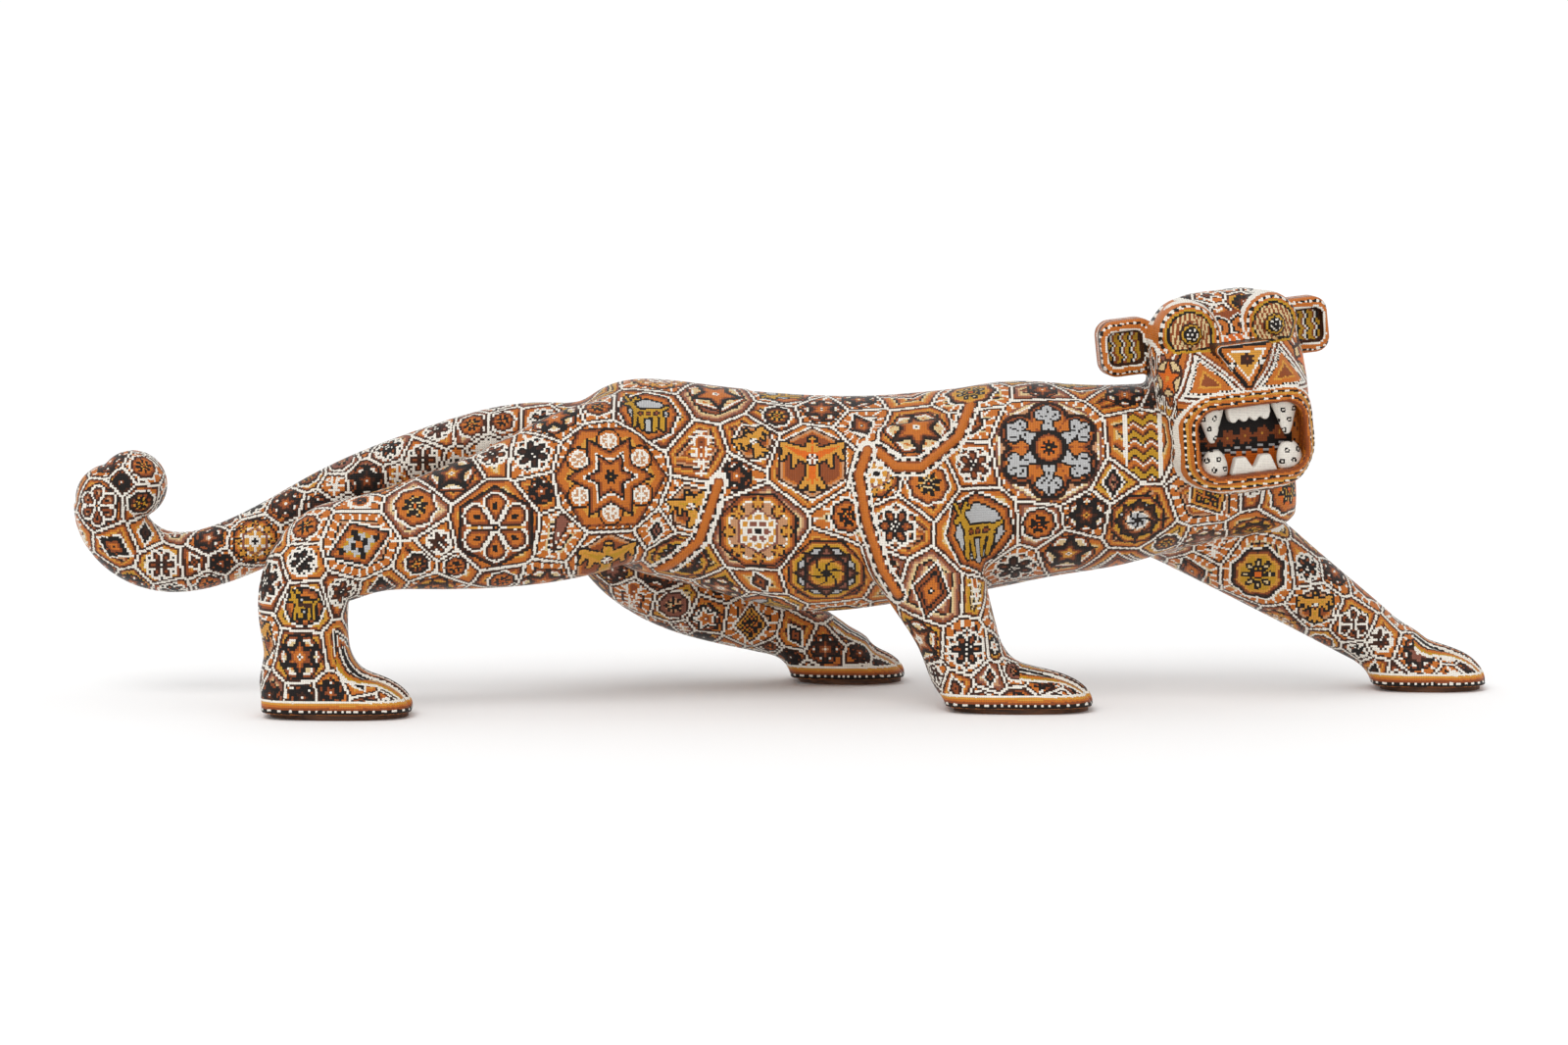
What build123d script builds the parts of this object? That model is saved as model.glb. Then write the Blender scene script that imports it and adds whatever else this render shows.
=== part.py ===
from build123d import *
import os
from math import cos, radians, sin

# A prowling big cat carved from glued-up softwood blocks, dowelled together and covered all over
# with small glass beads pressed into beeswax. Millimetres, +Z up, +X towards the head, -Y the
# cat's right side. The origin is on the ground, under the middle of the figure.

# ---------------------------------------------------------------- driving dimensions
SKIN = 3.0              # beeswax about 1 mm deep, with beads 2 mm across pressed into it
SOLE = 6.0              # wooden sole pad under each paw
DOWEL_R = 7.0           # hardwood dowels of the torso, neck, hips and shoulders
SMALL_DOWEL_R = 4.0     # dowels of the ears, jaw, tail and lower legs

# torso and chest: x, middle height, half width, half height over the beads
TORSO = [
    (-238, 262, 34, 32),
    (-216, 255, 66, 61),
    (-170, 243, 86, 98),
    (-100, 232, 92, 107),
    (-20, 216, 93, 114),
    (62, 211, 94, 115),
    (122, 216, 94, 112),
    (190, 225, 94, 110),
    (255, 234, 92, 108),
    (322, 238, 88, 100),
    (385, 245, 81, 94),
    (440, 250, 75, 82),
    (495, 238, 62, 60),
    (530, 226, 45, 40),
    (547, 220, 22, 20),
]
TORSO_CUTS = [-40, 190, 385]            # glue faces between rear, middle, front and neck block

# legs: x, y, z, half size across the body, half size in the side view
RIGHT_HIND = [
    (-150, -50, 250, 46, 78),
    (-205, -64, 234, 54, 88),
    (-262, -77, 215, 52, 82),
    (-325, -90, 199, 48, 70),
    (-390, -102, 188, 44, 58),
    (-448, -114, 178, 42, 52),
    (-492, -122, 158, 41, 50),
    (-506, -126, 125, 41, 48),
    (-505, -129, 90, 41, 46),
    (-501, -130, 58, 40, 45),
    (-497, -130, 30, 30, 35),
]
LEFT_HIND = [
    (-160, 50, 242, 44, 66),
    (-170, 76, 195, 50, 66),
    (-163, 97, 150, 48, 58),
    (-130, 112, 116, 44, 50),
    (-75, 122, 88, 42, 43),
    (-15, 130, 68, 39, 37),
    (45, 136, 46, 36, 28),
    (82, 138, 32, 29, 16),
]
RIGHT_FRONT = [
    (124, -50, 285, 34, 50),
    (130, -70, 250, 40, 60),
    (138, -82, 205, 44, 61),
    (150, -87, 160, 44, 56),
    (168, -88, 118, 42, 49),
    (182, -88, 84, 40, 43),
    (191, -87, 56, 38, 41),
    (197, -86, 32, 32, 34),
]
LEFT_FRONT = [
    (392, 42, 232, 44, 62),
    (440, 54, 190, 46, 58),
    (490, 62, 158, 44, 52),
    (540, 69, 124, 42, 45),
    (590, 74, 90, 38, 38),
    (640, 78, 56, 33, 31),
    (668, 79, 38, 28, 24),
]
# each leg: name, stations, index of the station at its middle glue face, heel x, toe x, paw y,
# paw half width, paw height
LEGS = [
    ("right_hind", RIGHT_HIND, 6, -550, -392, -130, 46, 62),
    ("left_hind", LEFT_HIND, 3, 8, 132, 140, 42, 50),
    ("right_front", RIGHT_FRONT, 4, 172, 327, -86, 45, 56),
    ("left_front", LEFT_FRONT, 3, 640, 760, 80, 42, 58),
]
# the paw's top line and outline, as shares of its length, height and half width
PAW_SHAPE = [
    (0.00, 0.55, 0.45),
    (0.07, 0.86, 0.80),
    (0.28, 1.00, 0.96),
    (0.55, 0.86, 1.00),
    (0.82, 0.66, 0.94),
    (0.95, 0.46, 0.72),
    (1.00, 0.26, 0.40),
]

# tail: x, y, z, radius
TAIL = [
    (-195, 0, 276, 34),
    (-245, 0, 286, 32),
    (-303, 0, 284, 30),
    (-363, 2, 268, 29),
    (-424, 4, 246, 29),
    (-484, 6, 218, 30),
    (-535, 8, 188, 31),
    (-582, 8, 164, 31),
    (-622, 8, 150, 31),
    (-660, 7, 147, 32),
    (-695, 5, 160, 34),
    (-718, 3, 188, 37),
    (-722, 1, 216, 38),
]
TAIL_TIP = (-697, 0, 231, 36)           # the curled tip, a ball
TAIL_CUTS = [3, 7, 10]                  # stations at the glue faces

# head: its own plane, with local x to its left side, local y up and local z towards the nose
HEAD_TURN = 12                          # the face looks this far forward of straight right
HEAD_ROLL = 6                           # the left side is carried a little higher
HEAD_AT = (467, -20, 339)
HEAD = [                                # forward, middle height, half width, half height
    (-86, 12, 38, 42),
    (-52, 6, 66, 80),
    (-10, 0, 78, 99),
    (30, -3, 80, 101),
    (62, -21, 76, 84),
    (88, -33, 68, 72),
    (105, -37, 54, 58),
]
HEAD_ROUNDING = 0.72                    # corner radius as a share of the smaller half size
JAW_LINE = -46                          # glue face between skull and lower jaw
MOUTH = (58, 36, 32)                    # half width, half height, depth
BROW = (42, 66, 34, 34)                 # sideways, up, forward, radius of the brow mounds
EYE = (46, 66, 60, 10)                  # sideways, up, forward, radius
EAR_AT = (96, 52, -22)                  # sideways, up, forward
EAR_SIZE = (60, 60, 36)
EAR_RECESS = (38, 36, 10)
NOSE = (34, 54, 4, 109)                 # half width, top, bottom, front face
TEETH_FRONT = 98                        # how far forward the teeth stand
TEETH_DEEP = 14                         # thickness of the two rows of front teeth
UPPER_FANG = (41, 16, 38)               # sideways, half width, length
LOWER_FANG = (41, 14, 30)
UPPER_FANG_SHAPE = [                    # share of the length, share of the width
    (0, 1.0),
    (0.30, 0.80),
    (0.60, 0.55),
    (0.88, 0.34),
    (1, 0.20),
]
LOWER_FANG_SHAPE = [
    (0, 0.84),
    (0.40, 1.0),
    (0.80, 0.80),
    (1, 0.46),
]
INCISORS = (4, 11.6, 5.6, 19)           # number, pitch, half width, length of the upper front teeth
UPPER_STRIP = 9                         # height of the strip they are carved from
LOWER_TEETH = [                         # half outline of the two lower teeth: sideways, up
    (0, 6),
    (8, 20),
    (19, 20),
    (26, 0),
]

# dowels, from one end to the other
TORSO_DOWEL_HEIGHTS = (172, 215)
TORSO_DOWEL_REACH = 40                  # into the block on each side of a glue face
NECK_DOWELS = [((x, 12, 205), (x, 12, 290)) for x in (445, 490)]
RIGHT_HIP_DOWELS = [((-190, -62, z), (-190, -105, z)) for z in (200, 245)]
LEFT_HIP_DOWELS = [((-160, 58, z), (-160, 108, z)) for z in (175, 215)]
RIGHT_SHOULDER_DOWELS = [((132, -58, z), (132, -108, z)) for z in (195, 240)]
LEFT_SHOULDER_DOWEL = ((430, 30, 215), (470, 52, 178))
LEG_DOWEL_REACH = 28
PAW_DOWEL_LOW = 14                      # a paw's dowel starts this high above the ground
PAW_DOWEL_REACH = 8                     # and runs this far past the end of the leg
TAIL_DOWEL_REACH = 24
RUMP_DOWEL = ((-196, 0, 278), (-262, 0, 286))
JAW_DOWEL = (40, 24, -10)               # sideways, reach up and down, forward
EAR_DOWEL = (52, 84, 50, -20)           # sideways from, sideways to, up, forward

BIG = 2000.0                            # beyond any end of the figure


# ---------------------------------------------------------------- helpers
def tangents(points):
    """Direction of travel at each point of a path, from its neighbours."""
    ahead = points[1:] + points[-1:]
    behind = points[:1] + points[:-1]
    return [(b - a).normalized() for a, b in zip(behind, ahead)]


def station_planes(stations, inset):
    """Planes square to the path at each station. The end planes move inwards by the inset."""
    points = [Vector(s[0], s[1], s[2]) for s in stations]
    directions = tangents(points)
    points[0] = points[0] + directions[0] * inset
    points[-1] = points[-1] - directions[-1] * inset
    planes = []
    for point, direction in zip(points, directions):
        side = Vector(0, 1, 0) - direction * direction.Y
        planes.append(Plane(origin=point, x_dir=side, z_dir=direction))
    return planes


def limb(stations, inset):
    """A body lofted through ellipses along a bent path, drawn in from its beaded surface."""
    with BuildPart() as body:
        for plane, station in zip(station_planes(stations, inset), stations):
            with BuildSketch(plane):
                Ellipse(station[3] - inset, station[4] - inset)
        loft()
    return body.part


def torso_body(inset):
    """The whole trunk from rump to chest."""
    ends = [inset] + [0] * (len(TORSO) - 2) + [-inset]
    with BuildPart() as body:
        for (x, middle, wide, high), shift in zip(TORSO, ends):
            with BuildSketch(Plane.YZ.offset(x + shift)):
                with Locations((0, middle)):
                    Ellipse(wide - inset, high - inset)
        loft()
    return body.part


def tail_body(inset):
    """The tail with its curled ball tip."""
    stations = [(x, y, z, r, r) for x, y, z, r in TAIL]
    with BuildPart() as body:
        add(limb(stations, inset))
        end = TAIL[-1]
        with Locations(end[:3], TAIL_TIP[:3]):
            Sphere(TAIL_TIP[3] - inset)
    return body.part


def paw_body(heel, toe, y, wide, high, inset):
    """A paw pointing forward, flat on its sole pad."""
    with BuildPart() as body:
        for share, top, side in PAW_SHAPE:
            shift = inset * (1 - 2 * share)
            x = heel + share * (toe - heel) + shift
            with BuildSketch(Plane.YZ.offset(x)):
                with Locations((y, SOLE)):
                    Ellipse(wide * side - inset, high * top - SOLE - inset)
        loft()
        split(bisect_by=Plane.XY.offset(SOLE), keep=Keep.TOP)
    return body.part


def head_plane():
    """The head's own plane, at its centre, facing forward."""
    turn = radians(HEAD_TURN)
    roll = radians(HEAD_ROLL)
    side = Vector(cos(turn) * cos(roll), sin(turn) * cos(roll), sin(roll))
    forward = Vector(sin(turn), -cos(turn), 0)
    return Plane(origin=HEAD_AT, x_dir=side, z_dir=forward)


FACE = head_plane()


def face_point(across, up, forward):
    """A point of the head's own frame, in the figure's frame."""
    return FACE.from_local_coords(Vector(across, up, forward))


def head_body(inset):
    """Skull and jaw as one form, with the brow mounds and the open mouth."""
    ends = [inset] + [0] * (len(HEAD) - 2) + [-inset]
    with BuildPart() as body:
        for (forward, middle, wide, high), shift in zip(HEAD, ends):
            with BuildSketch(FACE.offset(forward + shift)):
                with Locations((0, middle)):
                    radius = HEAD_ROUNDING * (min(wide, high) - inset)
                    RectangleRounded(2 * (wide - inset), 2 * (high - inset), radius)
        loft()
        mounds = [face_point(s * BROW[0], BROW[1], BROW[2]) for s in (-1, 1)]
        with Locations(*mounds):
            Sphere(BROW[3] - inset)
        front = HEAD[-1][0]
        with BuildSketch(FACE.offset(front - MOUTH[2] - inset)):
            with Locations((0, JAW_LINE - 2)):
                wide = MOUTH[0] + inset
                high = MOUTH[1] + inset
                RectangleRounded(2 * wide, 2 * high, 0.6 * high)
        extrude(amount=MOUTH[2] + 20, mode=Mode.SUBTRACT)
    return body.part


def ear_body(side, inset):
    """A cupped ear standing out from the side of the head."""
    across, up, forward = EAR_AT
    wide, high, deep = EAR_SIZE
    with BuildPart() as body:
        with BuildSketch(FACE.offset(forward - deep / 2 + inset)):
            with Locations((side * across, up)):
                RectangleRounded(wide - 2 * inset, high - 2 * inset, 16 - inset)
        extrude(amount=deep - 2 * inset)
        fillet(body.edges().filter_by(GeomType.CIRCLE), radius=7 - inset)
        recess_wide, recess_high, recess_deep = EAR_RECESS
        with BuildSketch(FACE.offset(forward + deep / 2 - recess_deep - inset)):
            with Locations((side * (across + 4), up)):
                RectangleRounded(recess_wide + 2 * inset, recess_high + 2 * inset, 8 + inset)
        extrude(amount=recess_deep + 20, mode=Mode.SUBTRACT)
    return body.part


def dowel(start, end, radius):
    """A round dowel from one point to another."""
    start = Vector(start)
    end = Vector(end)
    with BuildPart() as peg:
        with BuildSketch(Plane(origin=start, z_dir=(end - start).normalized())):
            Circle(radius)
        extrude(amount=(end - start).length)
    return peg.part


def piece(keep, remove=(), between=()):
    """A solid less its neighbours, kept between pairs of (plane, side), with offcuts dropped."""
    with BuildPart() as made:
        add(keep)
        for plane, side in between:
            split(bisect_by=plane, keep=side)
        for other in remove:
            add(other, mode=Mode.SUBTRACT)
        if len(made.solids()) > 1:
            add(made.solids().sort_by(SortBy.VOLUME)[-1], mode=Mode.REPLACE)
    return made


def group(solids):
    """Separate solids that share one node."""
    with BuildPart() as made:
        for solid in solids:
            add(solid)
    return made


def save(made, label):
    """Labels a finished piece and writes its file."""
    made.part.label = label
    export_step(made.part, f"parts/{label}.step")


os.makedirs("parts", exist_ok=True)

# ---------------------------------------------------------------- whole forms
torso_wood = torso_body(SKIN)
torso_full = torso_body(0)
head_wood = head_body(SKIN)
head_full = head_body(0)
tail_wood = tail_body(SKIN)
tail_full = tail_body(0)
ear_wood = {s: ear_body(s, SKIN) for s in (-1, 1)}
ear_full = {s: ear_body(s, 0) for s in (-1, 1)}
leg_wood = {leg[0]: limb(leg[1], SKIN) for leg in LEGS}
leg_full = {leg[0]: limb(leg[1], 0) for leg in LEGS}
paw_wood = {leg[0]: paw_body(*leg[3:], SKIN) for leg in LEGS}
paw_full = {leg[0]: paw_body(*leg[3:], 0) for leg in LEGS}

# ---------------------------------------------------------------- hidden dowels
torso_pegs = []
for x in TORSO_CUTS:
    for z in TORSO_DOWEL_HEIGHTS:
        torso_pegs.append(dowel((x - TORSO_DOWEL_REACH, 0, z), (x + TORSO_DOWEL_REACH, 0, z), DOWEL_R))
neck_pegs = [dowel(*ends, DOWEL_R) for ends in NECK_DOWELS]
hip_pegs = [dowel(*ends, DOWEL_R) for ends in RIGHT_HIP_DOWELS + LEFT_HIP_DOWELS]
shoulder_pegs = [dowel(*ends, DOWEL_R) for ends in RIGHT_SHOULDER_DOWELS + [LEFT_SHOULDER_DOWEL]]


def path_dowel(stations, index, half_length):
    """A dowel along a limb's path, centred on one of its stations."""
    points = [Vector(s[0], s[1], s[2]) for s in stations]
    direction = tangents(points)[index]
    middle = points[index]
    return dowel(middle - direction * half_length, middle + direction * half_length, SMALL_DOWEL_R)


leg_pegs = []
for leg in LEGS:
    leg_pegs.append(path_dowel(leg[1], leg[2], LEG_DOWEL_REACH))
    x, y, z = leg[1][-1][:3]
    leg_pegs.append(dowel((x, y, PAW_DOWEL_LOW), (x, y, z + PAW_DOWEL_REACH), SMALL_DOWEL_R))
tail_pegs = [path_dowel(TAIL, cut, TAIL_DOWEL_REACH) for cut in TAIL_CUTS]
tail_pegs.append(dowel(*RUMP_DOWEL, SMALL_DOWEL_R))
jaw_pegs = []
ear_pegs = []
for side in (-1, 1):
    across, reach, forward = JAW_DOWEL
    low = face_point(side * across, JAW_LINE - reach, forward)
    high = face_point(side * across, JAW_LINE + reach, forward)
    jaw_pegs.append(dowel(low, high, SMALL_DOWEL_R))
    inner, outer, up, forward = EAR_DOWEL
    start = face_point(side * inner, up, forward)
    end = face_point(side * outer, up, forward)
    ear_pegs.append(dowel(start, end, SMALL_DOWEL_R))
save(group(torso_pegs), "torso_dowels")
save(group(neck_pegs), "neck_dowels")
save(group(hip_pegs), "hip_dowels")
save(group(shoulder_pegs), "shoulder_dowels")
save(group(leg_pegs), "leg_dowels")
save(group(tail_pegs), "tail_dowels")
save(group(jaw_pegs + ear_pegs), "head_dowels")

# ---------------------------------------------------------------- torso and neck
torso_names = ["torso_rear", "torso_middle", "torso_front", "neck"]
edges = [-BIG] + TORSO_CUTS + [BIG]
for name, low, high in zip(torso_names, edges, edges[1:]):
    slab = []
    if low > -BIG:
        slab.append((Plane.YZ.offset(low), Keep.TOP))
    if high < BIG:
        slab.append((Plane.YZ.offset(high), Keep.BOTTOM))
    pegs = torso_pegs + neck_pegs + hip_pegs + shoulder_pegs + tail_pegs
    save(piece(torso_wood, [head_wood] + pegs, slab), f"{name}_block")
    limbs = list(leg_wood.values()) + [tail_wood, head_full]
    save(piece(torso_full, [torso_wood] + limbs, slab), f"{name}_skin")

# ---------------------------------------------------------------- tail
tail_names = ["tail_root", "tail_middle", "tail_bend", "tail_tip"]
tail_points = [Vector(s[0], s[1], s[2]) for s in TAIL]
tail_planes = [
    Plane(origin=tail_points[i], z_dir=tangents(tail_points)[i]) for i in TAIL_CUTS
]
for index, name in enumerate(tail_names):
    slab = []
    if index > 0:
        slab.append((tail_planes[index - 1], Keep.TOP))
    if index < len(tail_planes):
        slab.append((tail_planes[index], Keep.BOTTOM))
    save(piece(tail_wood, [torso_wood] + tail_pegs, slab), f"{name}_block")
    limbs = [leg_wood["right_hind"], leg_full["right_hind"]]
    save(piece(tail_full, [tail_wood, torso_full] + limbs, slab), f"{name}_skin")

# ---------------------------------------------------------------- legs and paws
sole_pads = []
for name, stations, cut, heel, toe, y, wide, _ in LEGS:
    points = [Vector(s[0], s[1], s[2]) for s in stations]
    glue_face = Plane(origin=points[cut], z_dir=tangents(points)[cut])
    pegs = hip_pegs + shoulder_pegs + leg_pegs
    wood = leg_wood[name]
    full = leg_full[name]
    taken = [torso_wood, tail_wood] + pegs
    save(piece(wood, taken, [(glue_face, Keep.BOTTOM)]), f"{name}_upper_block")
    save(piece(wood, taken, [(glue_face, Keep.TOP)]), f"{name}_lower_block")
    save(piece(paw_wood[name], [wood] + leg_pegs), f"{name}_paw_block")
    bare = [wood, torso_full, tail_wood]
    save(piece(full, bare, [(glue_face, Keep.BOTTOM)]), f"{name}_upper_skin")
    with BuildPart() as lower_skin:
        add(full)
        split(bisect_by=glue_face, keep=Keep.TOP)
        add(paw_full[name])
        for other in [wood, paw_wood[name], torso_full] + leg_pegs:
            add(other, mode=Mode.SUBTRACT)
    save(lower_skin, f"{name}_lower_skin")
    with BuildPart() as pad:
        with BuildSketch():
            with Locations(((heel + toe) / 2 + 2, y)):
                Ellipse((toe - heel) / 2 - 6, wide - 5)
        extrude(amount=SOLE)
    sole_pads.append(pad.part)
save(group(sole_pads), "sole_pads")

# ---------------------------------------------------------------- head, jaw and ears
jaw_face = Plane(
    origin=face_point(0, JAW_LINE, 0), x_dir=FACE.x_dir, z_dir=FACE.y_dir
)


def fang(side, size_of, shape, up, direction):
    """A tapering fang that hangs or stands from its gum, direction -1 down or 1 up."""
    across, half_wide, long = size_of
    half_deep = TEETH_DEEP / 2 + 1
    with BuildPart() as made:
        for share, size in shape:
            base = face_point(side * across, up + direction * share * long, TEETH_FRONT - half_deep)
            with BuildSketch(Plane(origin=base, x_dir=FACE.x_dir, z_dir=FACE.y_dir * direction)):
                Ellipse(half_wide * size, half_deep * size)
        loft()
    return made.part


def seated(solid):
    """A tooth or an eye, cut to sit on the beaded surface under it."""
    with BuildPart() as made:
        add(solid)
        add(head_full, mode=Mode.SUBTRACT)
        if len(made.solids()) > 1:
            add(made.solids().sort_by(SortBy.VOLUME)[-1], mode=Mode.REPLACE)
    return made.part


GUM_TOP = JAW_LINE - 2 + MOUTH[1] + 2     # the teeth start a little inside the gums
GUM_BOTTOM = JAW_LINE - 2 - MOUTH[1] - 2
upper_fangs = []
lower_fangs = []
for side in (-1, 1):
    upper_fangs.append(seated(fang(side, UPPER_FANG, UPPER_FANG_SHAPE, GUM_TOP, -1)))
    lower_fangs.append(seated(fang(side, LOWER_FANG, LOWER_FANG_SHAPE, GUM_BOTTOM, 1)))

count, pitch, half_wide, long = INCISORS
with BuildPart() as upper_row:
    with BuildSketch(FACE.offset(TEETH_FRONT - TEETH_DEEP)):
        with Locations((0, GUM_TOP - UPPER_STRIP / 2)):
            Rectangle(count * pitch, UPPER_STRIP)
        with Locations((0, GUM_TOP - long / 2)):
            with GridLocations(pitch, 1, count, 1):
                Ellipse(half_wide, long / 2)
    extrude(amount=TEETH_DEEP)

with BuildPart() as lower_row:
    with BuildSketch(FACE.offset(TEETH_FRONT - TEETH_DEEP)):
        right_half = [(-x, GUM_BOTTOM + z) for x, z in reversed(LOWER_TEETH[1:])]
        left_half = [(x, GUM_BOTTOM + z) for x, z in LOWER_TEETH]
        with BuildLine():
            Polyline(*right_half, *left_half, close=True)
        make_face()
    extrude(amount=TEETH_DEEP)

across, up, forward, radius = EYE
eyes = []
for side in (-1, 1):
    with BuildPart() as eye:
        with Locations(face_point(side * across, up, forward)):
            Sphere(radius)
    eyes.append(seated(eye.part))

half_nose, nose_top, nose_low, nose_front = NOSE
with BuildPart() as nose_pad:
    with BuildSketch(FACE.offset(60)):
        with BuildLine():
            Polyline((-half_nose, nose_top), (half_nose, nose_top), (0, nose_low), close=True)
        make_face()
        fillet(vertices(), 5)
    extrude(amount=nose_front - 60)
    add(head_full, mode=Mode.SUBTRACT)
save(nose_pad, "nose_pad")

pegs = torso_pegs + neck_pegs + jaw_pegs + ear_pegs
for name, side in (("skull", Keep.TOP), ("jaw", Keep.BOTTOM)):
    save(piece(head_wood, pegs, [(jaw_face, side)]), f"{name}_block")
    save(piece(head_full, [head_wood, torso_wood] + ear_pegs, [(jaw_face, side)]), f"{name}_skin")
for side, name in ((-1, "right"), (1, "left")):
    save(piece(ear_wood[side], [head_full] + ear_pegs), f"{name}_ear_block")
    save(piece(ear_full[side], [ear_wood[side], head_full] + ear_pegs), f"{name}_ear_skin")
save(group(upper_fangs), "upper_fangs")
save(group(lower_fangs), "lower_fangs")
save(group([seated(upper_row.part)]), "upper_front_teeth")
save(group([seated(lower_row.part)]), "lower_front_teeth")
save(group(eyes), "eyes")
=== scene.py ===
import math

import bpy
import numpy as np
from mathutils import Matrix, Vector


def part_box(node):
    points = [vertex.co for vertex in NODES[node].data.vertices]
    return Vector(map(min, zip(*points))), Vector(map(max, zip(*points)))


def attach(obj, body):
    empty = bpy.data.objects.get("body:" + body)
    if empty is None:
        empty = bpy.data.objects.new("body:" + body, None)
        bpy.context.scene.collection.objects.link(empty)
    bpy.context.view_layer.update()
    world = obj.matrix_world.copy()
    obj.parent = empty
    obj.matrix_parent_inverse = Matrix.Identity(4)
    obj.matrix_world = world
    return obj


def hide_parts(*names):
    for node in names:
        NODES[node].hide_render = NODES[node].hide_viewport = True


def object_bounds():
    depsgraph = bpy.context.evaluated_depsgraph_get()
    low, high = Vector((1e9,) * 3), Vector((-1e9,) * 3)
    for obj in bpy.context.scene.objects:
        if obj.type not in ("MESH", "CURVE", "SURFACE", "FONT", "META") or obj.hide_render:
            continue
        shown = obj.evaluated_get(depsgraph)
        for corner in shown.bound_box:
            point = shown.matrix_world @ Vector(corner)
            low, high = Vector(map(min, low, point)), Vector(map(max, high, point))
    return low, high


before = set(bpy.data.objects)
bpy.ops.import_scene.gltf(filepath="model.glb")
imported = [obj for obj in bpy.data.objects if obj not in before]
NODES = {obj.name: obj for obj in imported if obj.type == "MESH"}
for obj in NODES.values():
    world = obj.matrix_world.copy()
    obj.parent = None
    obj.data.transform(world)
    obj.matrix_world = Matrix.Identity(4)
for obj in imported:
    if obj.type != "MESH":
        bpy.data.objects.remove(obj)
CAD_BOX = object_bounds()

import openvdb
from mathutils import Vector
from mathutils.bvhtree import BVHTree

# ---- driving values (metres)
VOXEL = 0.0025  # pitch of the distance field that the beaded form is modelled in
FINE_VOXEL = 0.0017  # the same for the teeth
BAND = 14  # how many voxels the field reaches each side of the surface
FINE_BAND = 5
BEAD = 0.0022  # pitch of the beads
MM = 0.001
MARGIN = 0.03  # empty room round the form in the field
SKIN = 0.003  # depth of the beeswax and beads over the wood
SOLE = 0.006  # the beads end this high, on the wooden sole pads
PAW_HIGH = 0.075  # the paws' own pattern ends here
PAW_FILLET = 0.026  # how widely the pieces flow into each other
LEG_FILLET = 0.024
TAIL_FILLET = 0.020
HEAD_FILLET = 0.010
EAR_FILLET = 0.006
LIP_HIGH = 0.0038
BROW_HIGH = 0.0034
SOCKET_DEEP = 0.0018
TOE_DEEP = 0.0050
RELAX_ROUNDS = 6  # how often the rows of beads are evened out
ROOT = "root"
LEG_NAMES = ("right_hind", "left_hind", "right_front", "left_front")
RNG = np.random.default_rng(11)

# the head's own frame: sideways to its left, up, forward out of the face
HEAD_AT = np.array((0.467, -0.020, 0.339))
HEAD_TURN = math.radians(12)
HEAD_ROLL = math.radians(6)
SIDE = np.array((math.cos(HEAD_TURN) * math.cos(HEAD_ROLL), math.sin(HEAD_TURN) * math.cos(HEAD_ROLL),
                 math.sin(HEAD_ROLL)))
FORWARD = np.array((math.sin(HEAD_TURN), -math.cos(HEAD_TURN), 0.0))
UP = np.cross(FORWARD, SIDE)
MOUTH_MIDDLE = -0.048  # height of the mouth's middle in the head's frame
MOUTH_HALF = (0.058, 0.036)
EYE_AT = (0.046, 0.066)  # sideways and up
CHEEK_AT = (0.071, 0.022, 0.056)  # sideways, up, forward
EAR_RECESS_AT = (0.100, 0.052)
EAR_RECESS_HALF = (0.019, 0.018)

# raised cords on both flanks: x and height along each
SHOULDER_CORD = ((0.202, 0.331), (0.184, 0.290), (0.145, 0.262), (0.118, 0.262), (0.100, 0.276))
ELBOW_CORD = ((0.088, 0.277), (0.079, 0.252), (0.087, 0.203), (0.104, 0.153), (0.120, 0.127))
THIGH_CORD = ((-0.069, 0.243), (-0.090, 0.180), (-0.117, 0.154), (-0.143, 0.138))
CORDS = (SHOULDER_CORD, ELBOW_CORD, THIGH_CORD)
CORD_HIGH = 0.0032
CORD_WIDE = 0.0060
CORD_OUTER = 0.045  # the cords lie this far out from the middle plane
TOE_LONG = 0.062  # the grooves between the toes, from the paw's tip
TOE_LINES = (-0.48, 0.0, 0.48)  # as shares of the paw's half width
RING_PITCH = 0.0125  # the black rings on the fangs

# ---- the signed distance field
def nodes_like(*ends):
    """CAD nodes whose names end with one of these words."""
    return [n for n in sorted(NODES) if n.endswith(ends)]


def triangles_of(names):
    """Points and triangles of several CAD nodes together."""
    points, triangles, start = [], [], 0
    for name in names:
        mesh = NODES[name].data
        mesh.calc_loop_triangles()
        co = np.zeros(len(mesh.vertices) * 3, np.float32)
        mesh.vertices.foreach_get("co", co)
        tri = np.zeros(len(mesh.loop_triangles) * 3, np.int32)
        mesh.loop_triangles.foreach_get("vertices", tri)
        points.append(co.reshape(-1, 3))
        triangles.append(tri.reshape(-1, 3) + start)
        start += len(mesh.vertices)
    return np.concatenate(points), np.concatenate(triangles).astype(np.uint32)


LOW = np.floor((np.array(CAD_BOX[0]) - MARGIN) / VOXEL).astype(int)
HIGH = np.ceil((np.array(CAD_BOX[1]) + MARGIN) / VOXEL).astype(int)
GRID_SHAPE = tuple(HIGH - LOW + 1)


def level_set(names, voxel, band, low, shape):
    """Signed distance to the solid union of CAD nodes, on a grid of this shape from low."""
    points, triangles = triangles_of(names)
    grid = openvdb.FloatGrid.createLevelSetFromPolygons(
        points, triangles=triangles, transform=openvdb.createLinearTransform(voxel), halfWidth=band
    )
    values = np.empty(shape, np.float32)
    grid.copyToArray(values, ijk=tuple(int(v) for v in low))
    return values


def field_of(names):
    return level_set(names, VOXEL, BAND, LOW, GRID_SHAPE)


def blend(a, b, reach):
    """Smooth union of two fields with a fillet of about this reach."""
    h = np.maximum(reach - np.abs(a - b), 0) / reach
    return np.minimum(a, b) - h * h * (reach / 4)


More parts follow.
